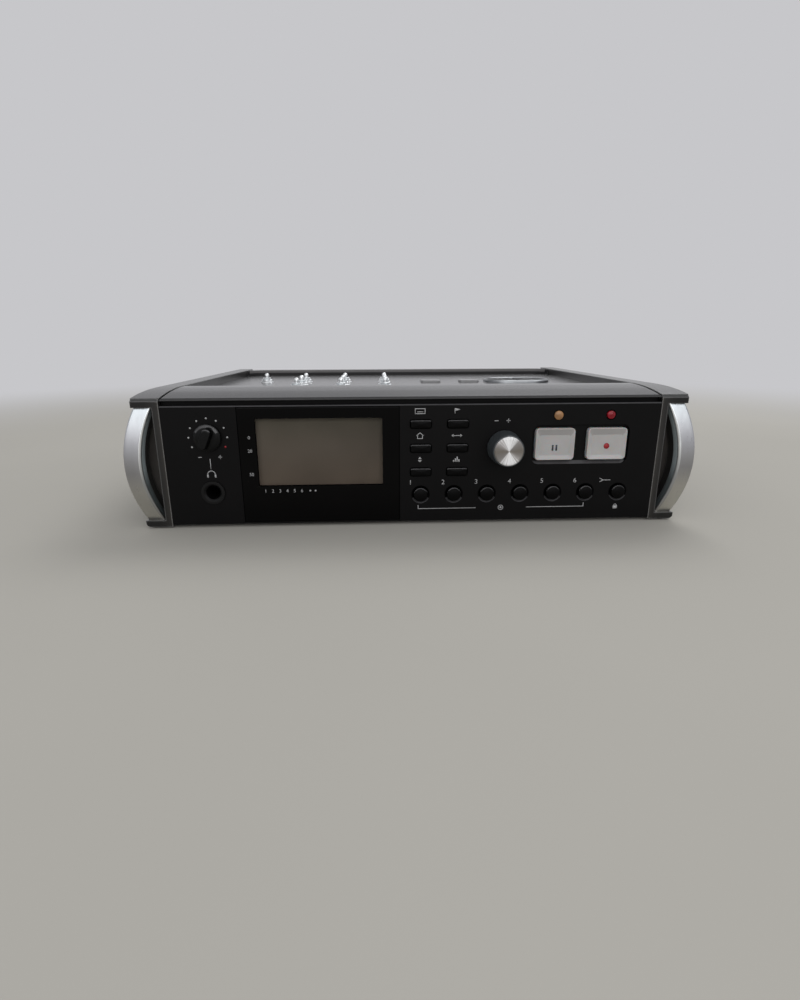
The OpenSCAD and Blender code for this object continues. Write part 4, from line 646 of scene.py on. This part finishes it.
signs = {"rewind_key": [blob(np.add(back, (s, 0))) for s in (-1.2, 1.2)],
         "forward_key": [blob(np.add(arrow, (s, 0))) for s in (-1.2, 1.2)],
         "stop_key": [blob(box2d(2.4, 2.4))], "play_key": [blob(np.multiply(arrow, 1.15))]}
raised = shifted(0, 0, k["out"] + ink["keyLift"])
rows = insets(quarterW, quarterL, padR, [
    (0, k["padRoot"]), (0, k["out"] - 0.45), (0.12, k["out"] - 0.15), (0.4, k["out"])])
for name, (sx, sy, which) in pads.items():
    corners = [0.08] * 4  # one large corner each, at the ring's own
    corners[which] = 1
    place = onDeck(padX + sx * (k["split"] + quarterW) / 2, padY + sy * (k["split"] + quarterL) / 2, deckZ)
    pad = moved(shell(dome(stack(rows, corners), 0.0)), place)
    piece(name.replace("_key", "Pad"), [pad], "key_black", name, name, look=padGrey)
    inkPiece(name.replace("_key", "Sign"), [moved(s, raised, place) for s in signs[name]], "key_black", name)

# Deck: two flat keys
flatKey = {"w": 12.0, "h": 8.0, "r": 1.6, "out": 1.2, "edge": 0.45, "crown": 0.0, "root": -1.6}
flatSigns = {"power_key": [line(circle(1.2, 0, 0, 120, 420)), line([(0, 0.3), (0, 1.7)])],
             "menu_key": [line([(-1.5, y), (1.5, y)]) for y in (-1.1, 0, 1.1)]}
raised = shifted(0, 0, flatKey["out"] + ink["keyLift"])
for name, parts in flatSigns.items():
    mid = nodeBox(name)[2]
    place = onDeck(mid[0], mid[1], deckZ)
    piece(name.replace("_key", "Cap"), [moved(roundedCap(flatKey), place)], "key_black", name, name, look=deckKey)
    inkPiece(name.replace("_key", "Sign"), [moved(s, raised, place) for s in parts], "key_black", name)

# Toggles: washer, six-sided nut and threaded bush, and the lever that stands out of it
toggle = {"washer": 4.0, "washerT": 0.4, "nut": 3.6, "nutH": 1.4, "bush": 2.6, "bushH": 2.8, "thread": 0.14,
          "bore": 1.9, "tip": 1.3, "neck": 0.85, "height": 5.7, "tilt": -12}
k = toggle
base = k["washerT"] + k["nutH"]
washer = shell(lathe([(k["washer"], 0.0), (k["washer"], 0.28), (k["washer"] - 0.12, k["washerT"])], 48))
a = np.linspace(0, 2 * np.pi, 48, endpoint=False)
sixth = math.pi / 6
offFlat = (a + sixth) % (2 * sixth) - sixth
hexR = k["nut"] * math.cos(sixth) / np.cos(offFlat)  # apothem over the cosine of the angle off a flat's middle
levels = np.array([k["washerT"], k["washerT"] + 0.1, base - 0.25, base])[:, None]
limit = np.array([k["nut"] - 0.25, k["nut"], k["nut"], k["nut"] - 0.45])[:, None]
nutR = np.minimum(hexR, limit)
nut = shell(np.dstack([nutR * np.cos(a), nutR * np.sin(a), np.broadcast_to(levels, nutR.shape)]))
turns = np.arange(15)
thread = list(zip(k["bush"] - k["thread"] * (turns % 2), base - 0.1 + (k["bushH"] - base) * turns / 14))
bushTop = k["bushH"] + 0.1
bush = shell(lathe(thread + [(k["bush"] - 0.4, bushTop), (k["bore"], bushTop), (k["bore"], 0.5)], 40))
neckTop = k["height"] - 0.6 - k["tip"]
tipArc = np.linspace(0.1, np.pi / 2 - 0.06, 8)
leverLine = [(1.2, -0.9), (1.45, -0.1), (1.1, 0.75), (k["neck"], 1.2), (k["neck"] + 0.1, 2.4),
             (k["tip"] - 0.05, neckTop - 0.5)]
leverLine += list(zip(k["tip"] * np.cos(tipArc), neckTop + k["tip"] * np.sin(tipArc)))
lever = shell(lathe(leverLine, 32))
hardware = []
for joint in frame["joints"]:
    if joint["name"].startswith("toggle_throw"):
        pivot, name = np.array(joint["pos_m"]) / mm, joint["child"]
        hardware += [moved(part, onDeck(pivot[0], pivot[1], deckZ)) for part in (washer, nut, bush)]
        made = "toggleBat" + name.split("_")[-1]
        piece(made, [moved(lever, tipped(k["tilt"]), onDeck(*pivot))], "toggle_chrome", name, name)
piece("toggleHardware", hardware, "toggle_chrome", "case", "toggle_bodies")
print("deck made")

# Left side: contact sleeves, latch tabs and screws of the four combination sockets
combo = {"y": (46.0, 74.5, 103.0, 131.5), "z": 31.5, "insertFace": 1.5, "contact": 5.4, "sleeve": 1.3,
         "hole": 0.75, "deep": -6.0, "tabUp": 12.9, "screwR": 1.7, "screwH": 0.9, "screwX": 10.6, "screwZ": 13.0,
         "face": 1.2, "tab": (6.4, 3.0, 0.8)}
k = combo
sleeveEnd = k["insertFace"] + 0.12
sleeve = shell(lathe([(k["sleeve"], k["deep"]), (k["sleeve"], sleeveEnd), (k["hole"], sleeveEnd),
                      (k["hole"], k["deep"])], 24), wrap=True)
tab = shell(stack(insets(*k["tab"], [(0, 0.6), (0, 2.2), (0.25, 2.55), (0.6, 2.7)])))


def screwHead(r, height, slot=0.42, reach=0.66):  # z = dome - cross sunk where |x| or |y| is less than the slot
    rad = np.linspace(0, 1, 15)[::-1][:, None]
    a = np.linspace(0, 2 * np.pi, 48, endpoint=False) + np.pi / 48
    x, y = r * rad * np.cos(a), r * rad * np.sin(a)
    sunk = (np.minimum(np.abs(x), np.abs(y)) < slot * r / 2) & (rad * np.ones_like(a) < reach)
    z = height * (1 - 0.45 * rad ** 4) - 0.55 * height * sunk
    top = np.dstack([x, y, z])[:-1]
    return shell(np.concatenate([np.dstack([x[:1], y[:1], np.full_like(x[:1], -0.3)]), top]))


screw = screwHead(k["screwR"], k["screwH"])
contacts = [shifted(*spot) for spot in k["contact"] * circle(1, start=30, end=270, steps=3)]
plateScrews, sleeves, tabs = [], [], []
for y in frontY + np.array(k["y"]):
    place = onLeft(y, k["z"])
    sleeves += [moved(sleeve, contact, place) for contact in contacts]
    tabs.append(moved(tab, shifted(0, k["tabUp"]), place))
    plateScrews += [moved(screw, shifted(s * k["screwX"], s * k["screwZ"], k["face"]), place) for s in (-1, 1)]
piece("comboContacts", sleeves, "phono_metal", "case")
piece("comboLatches", tabs, "jack_black", "case")
piece("comboScrews", plateScrews, "screw_black", "case", crease=30)

# Right side: coloured insulators in the ends of the phono sockets, and the data port's tongue
phono = {"y": (92.0, 112.0, 132.0, 152.0), "z": (22.0, 41.0), "out": 9.4, "bore": 1.65, "ring": 3.45}
k = phono
insulator = shell(lathe([
    (k["ring"], k["out"] - 0.2), (k["ring"], k["out"] + 0.08), (k["ring"] - 0.15, k["out"] + 0.16),
    (k["bore"] + 0.25, k["out"] + 0.16), (k["bore"], k["out"] - 0.2)], 40), wrap=True)
for name, z, tint in (("insulatorLower", k["z"][0], redRing), ("insulatorUpper", k["z"][1], whiteRing)):
    piece(name, [moved(insulator, onRight(frontY + y, z)) for y in k["y"]], "phono_metal", "case", look=tint)
port = {"y": 46, "z": 22.0, "w": 5.2, "h": 1.0, "r": 0.3}
tongue = shell(stack(insets(port["w"], port["h"], port["r"], [(0, -7.0), (0, -1.2), (0.15, -1.0)])))
piece("portTongue", [moved(tongue, onRight(frontY + port["y"], port["z"]))], "phono_metal", "case")

# Underside: feet
foot = {"l": 18.0, "w": 10.0, "r": 4.9, "x": 86.0, "inset": 12.0}
k = foot
tall = nodeBox("rubber_feet")[1][2]
pad = shell(stack(insets(k["l"], k["w"], k["r"], [(0, 0.0), (0, tall - 0.6), (0.2, tall - 0.2), (0.6, tall)])))
spots = [(sx * k["x"], y) for sx in (-1, 1) for y in (frontY + k["inset"], rearY - k["inset"])]
piece("footPads", [moved(pad, onBase(x, y, tall)) for x, y in spots], "foot_rubber", "case", "rubber_feet")
print("sides and feet made")

# Marks on the front panel
panelMark = {"numberX": (-1.9, 13.2, 28.6, 44.2, 59.4, 75.0), "numberZ": 20.3, "number": 3.1,
             "keyShift": -0.4, "keyZ": (53.1, 42.0, 31.1), "thin": 0.28, "fine": 0.3, "pen": 0.32,
             "phonesZ": 25.6, "stem": (32.7, 27.9), "phonesEnds": (-96.3, -87.4, 33.4, 0.8, 0.32),
             "valueEnds": (36.9, 42.3, 48.5, 0.9, 0.35), "joinX": 89.3, "lock": (95.4, 7.5),
             "bracketX": ((1.7, 28.8), (80.0, 52.7)), "bracketZ": (9.4, 7.7), "ringX": 40.6}
k = panelMark
pen, fine, thin = k["pen"], k["fine"], k["thin"]


def inked(parts, x, z):  # flat marks set a little off the panel
    return [moved(part, shifted(0, 0, ink["lift"]), onPanel(x, z)) for part in parts]


def minusPlus(minusX, plusX, z, half, width):
    across, upright = line([(-half, 0), (half, 0)], width), line([(0, -half), (0, half)], width)
    return inked([across], minusX, z) + inked([across, upright], plusX, z)


marks = []
for i, x in enumerate(k["numberX"]):
    marks += inked([digits(str(i + 1), k["number"])], x, k["numberZ"])
funcSigns = [
    [line(box2d(4.4, 2.2), fine, True), line([(-1.4, -0.3), (1.4, -0.3)], fine)],  # screen
    [line([(-1.1, -1.2), (-1.1, 1.3)], pen), blob([(-1.0, -0.1), (1.3, 0.6), (-1.0, 1.3)])],  # flag
    [line([(-1.6, 0.1), (0, 1.4), (1.6, 0.1)], pen),
     line([(-1.1, 0.3), (-1.1, -1.2), (1.1, -1.2), (1.1, 0.3)], pen)],  # house
    [line([(-1.7, 0), (1.7, 0)], pen), blob([(-2.5, 0), (-1.5, -0.7), (-1.5, 0.7)]),
     blob([(2.5, 0), (1.5, 0.7), (1.5, -0.7)])],  # left and right
    [blob([(-0.9, 0.25), (0.9, 0.25), (0, 1.3)]), blob([(0.9, -0.25), (-0.9, -0.25), (0, -1.3)])],  # up and down
    [blob(box2d(0.6, 2 * half, at, half - 1.2))
     for at, half in ((-1.2, 0.4), (-0.4, 0.8), (0.4, 1.2), (1.2, 0.6))],  # levels
]
for i, sign in enumerate(funcSigns):
    marks += inked(sign, nodeBox(f"function_key_{i + 1}")[2][0] + k["keyShift"], k["keyZ"][i // 2])
phonesSign = [line(circle(1.7, 0, -0.2, 0, 180, 16), pen)] + [blob(box2d(0.7, 1.5, x, -0.9)) for x in (-1.7, 1.7)]
lockSign = [blob(box2d(2.0, 1.5, 0, -0.5)), line(circle(0.65, 0, 0.3, 0, 180, 12), thin)]
joinSign = [line([(-2.6, 0.9), (-0.8, 0), (2.6, 0)], pen), line([(-2.6, -0.9), (-0.8, 0)], pen)]
marks += inked(phonesSign, knob["x"], k["phonesZ"])
marks += inked([line([(0, z) for z in k["stem"]], fine)], knob["x"], 0)
marks += minusPlus(*k["phonesEnds"]) + minusPlus(*k["valueEnds"])
marks += inked(joinSign, k["joinX"], k["numberZ"]) + inked(lockSign, *k["lock"])
tipZ, lineZ = k["bracketZ"]
for outer, inner in k["bracketX"]:
    marks += inked([line([(outer, tipZ), (outer, lineZ), (inner, lineZ)], fine)], 0, 0)
marks += inked([line(circle(1.1), thin, True), blob(circle(0.5))], k["ringX"], lineZ)

dots = {"r": 8.5, "size": 0.42, "from": -120, "to": 120, "step": 30, "steps": 14}


def dot(turn):
    x, y = dots["r"] * math.sin(math.radians(turn)), dots["r"] * math.cos(math.radians(turn))
    return inked([blob(circle(dots["size"], x, y, steps=dots["steps"]))], knob["x"], knob["z"])


for turn in range(dots["from"], dots["to"], dots["step"]):
    marks += dot(turn)
inkPiece("panelMarks", marks, "panel_black", "case")
inkPiece("panelMarkRed", dot(dots["to"]), "panel_black", "case", inkRed)

# Marks on the display window: a level scale and the channels' numbers
scale = {"x": -74.0, "size": 2.1, "rowX": -68.3, "rowZ": 17.2, "pitch": 3.3, "rowSize": 2.2, "dotX": (-48.0, -45.6),
         "levels": {"0": 41.9, "20": 35.9, "50": 25.1}}
k = scale
windowMarks = [digits(text, k["size"], k["x"], z) for text, z in k["levels"].items()]
windowMarks += [digits(str(i + 1), k["rowSize"], k["rowX"] + k["pitch"] * i, k["rowZ"]) for i in range(6)]
windowMarks += [blob(circle(0.4, x, k["rowZ"], steps=14)) for x in k["dotX"]]
inkPiece("windowMarks", inked(windowMarks, 0, 0), "window_smoke", "case")
print("marks made")

# Stage: a floor that curves up far away all round, the lamps and the camera
stage = {"flat": 1.1, "bend": 0.9, "top": 2.6, "floor": (0.42, 0.405, 0.37), "wall": (0.571, 0.571, 0.591),
         "from": 0.35, "to": 0.95, "world": (0.97, 0.98, 1.0), "worldLevel": 0.62}


def floorPaint():  # a lit floor near the object that runs into an even backdrop further out
    mat = paint("floorPale", stage["floor"], 0.85, vary=0.03, patch=3, Specular_IOR_Level=0.1)
    tree = mat.node_tree
    ray = node(tree, "ShaderNodeLightPath").outputs
    more = maths(tree, "ADD", ray["Is Camera Ray"], ray["Is Glossy Ray"], kind="ShaderNodeMath")["Value"]
    seen = maths(tree, "ADD", more, ray["Is Transmission Ray"], kind="ShaderNodeMath")["Value"]
    seen.node.use_clamp = True
    glow = node(tree, "ShaderNodeEmission", Color=stage["wall"] + (1,), Strength=seen)
    far = maths(tree, "LENGTH", objectPlace(tree))["Value"]
    share = node(tree, "ShaderNodeMapRange", {"interpolation_type": "SMOOTHSTEP"}, Value=far,
                 From_Min=stage["from"], From_Max=stage["to"]).outputs[0]
    mix = node(tree, "ShaderNodeMixShader", Fac=share)
    tree.links.new(tree.nodes["Principled BSDF"].outputs[0], mix.inputs[1])
    tree.links.new(glow.outputs[0], mix.inputs[2])
    tree.links.new(mix.outputs[0], tree.nodes["Material Output"].inputs["Surface"])
    return mat


floorLook = floorPaint()


def stagePiece(name, profile):  # radius and level in metres, turned about z
    grid = lathe(np.array(profile) / mm, 96)[::-1]
    points, faces = sheet(np.concatenate([grid, grid[:, :1]], 1))
    mesh = bpy.data.meshes.new(name)
    mesh.from_pydata((points * mm).tolist(), [], faces)
    mesh.polygons.foreach_set("use_smooth", np.ones(len(mesh.polygons), bool))
    mesh.materials.append(floorLook)
    obj = bpy.data.objects.new(name, mesh)
    scene.collection.objects.link(obj)
    return obj


a = np.linspace(-np.pi / 2, 0, 14)
rise = list(zip(stage["flat"] + stage["bend"] * np.cos(a), stage["bend"] * (1 + np.sin(a))))
rise += [(stage["flat"] + stage["bend"], stage["top"])]
stagePiece("floorDisc", [(0.0005, 0), (0.3, 0), (stage["flat"] + 0.001, 0)])
wall = stagePiece("floorWall", rise)
wall.visible_diffuse = wall.visible_shadow = False

world = bpy.data.worlds.new("roomLight")
scene.world = world
world.use_nodes = True
background = world.node_tree.nodes["Background"].inputs
background["Color"].default_value = stage["world"] + (1,)
background["Strength"].default_value = stage["worldLevel"]


def softLamp(name, place, target, width, height, power):
    data = bpy.data.lights.new(name, "AREA")
    data.shape, data.size, data.size_y, data.energy = "RECTANGLE", width, height, power
    obj = bpy.data.objects.new(name, data)
    scene.collection.objects.link(obj)
    aim = (Vector(target) - Vector(place)).to_track_quat("-Z", "Y")
    obj.matrix_world = Matrix.Translation(place) @ aim.to_matrix().to_4x4()


softLamp("lampTop", (0.45, 0.7, 1.15), (0, 0, 0), 0.9, 0.6, 7.0)
softLamp("lampFront", (0.0, -1.45, 0.68), (0, -0.05, 0.04), 2.8, 1.05, 12.5)

view = {"place": (-0.01673, frontY * mm - 0.24331, 0.08367), "pitch": 0.286, "yaw": 0.041, "roll": -0.004,
        "lens": 19.63, "sensor": 36.0}
cp, sp = math.cos(view["pitch"]), math.sin(view["pitch"])
cy, sy = math.cos(view["yaw"]), math.sin(view["yaw"])
cr, sr = math.cos(view["roll"]), math.sin(view["roll"])
ahead, right = Vector((sy * cp, cy * cp, -sp)), Vector((cy, -sy, 0))
up = right.cross(ahead)
axes = Matrix((cr * right + sr * up, -sr * right + cr * up, -ahead)).transposed()
optics = bpy.data.cameras.new("camera")
optics.lens, optics.sensor_width, optics.clip_start = view["lens"], view["sensor"], 0.01
camera = bpy.data.objects.new("camera", optics)
scene.collection.objects.link(camera)
camera.matrix_world = Matrix.Translation(view["place"]) @ axes.to_4x4()
scene.camera = camera
print("stage made")
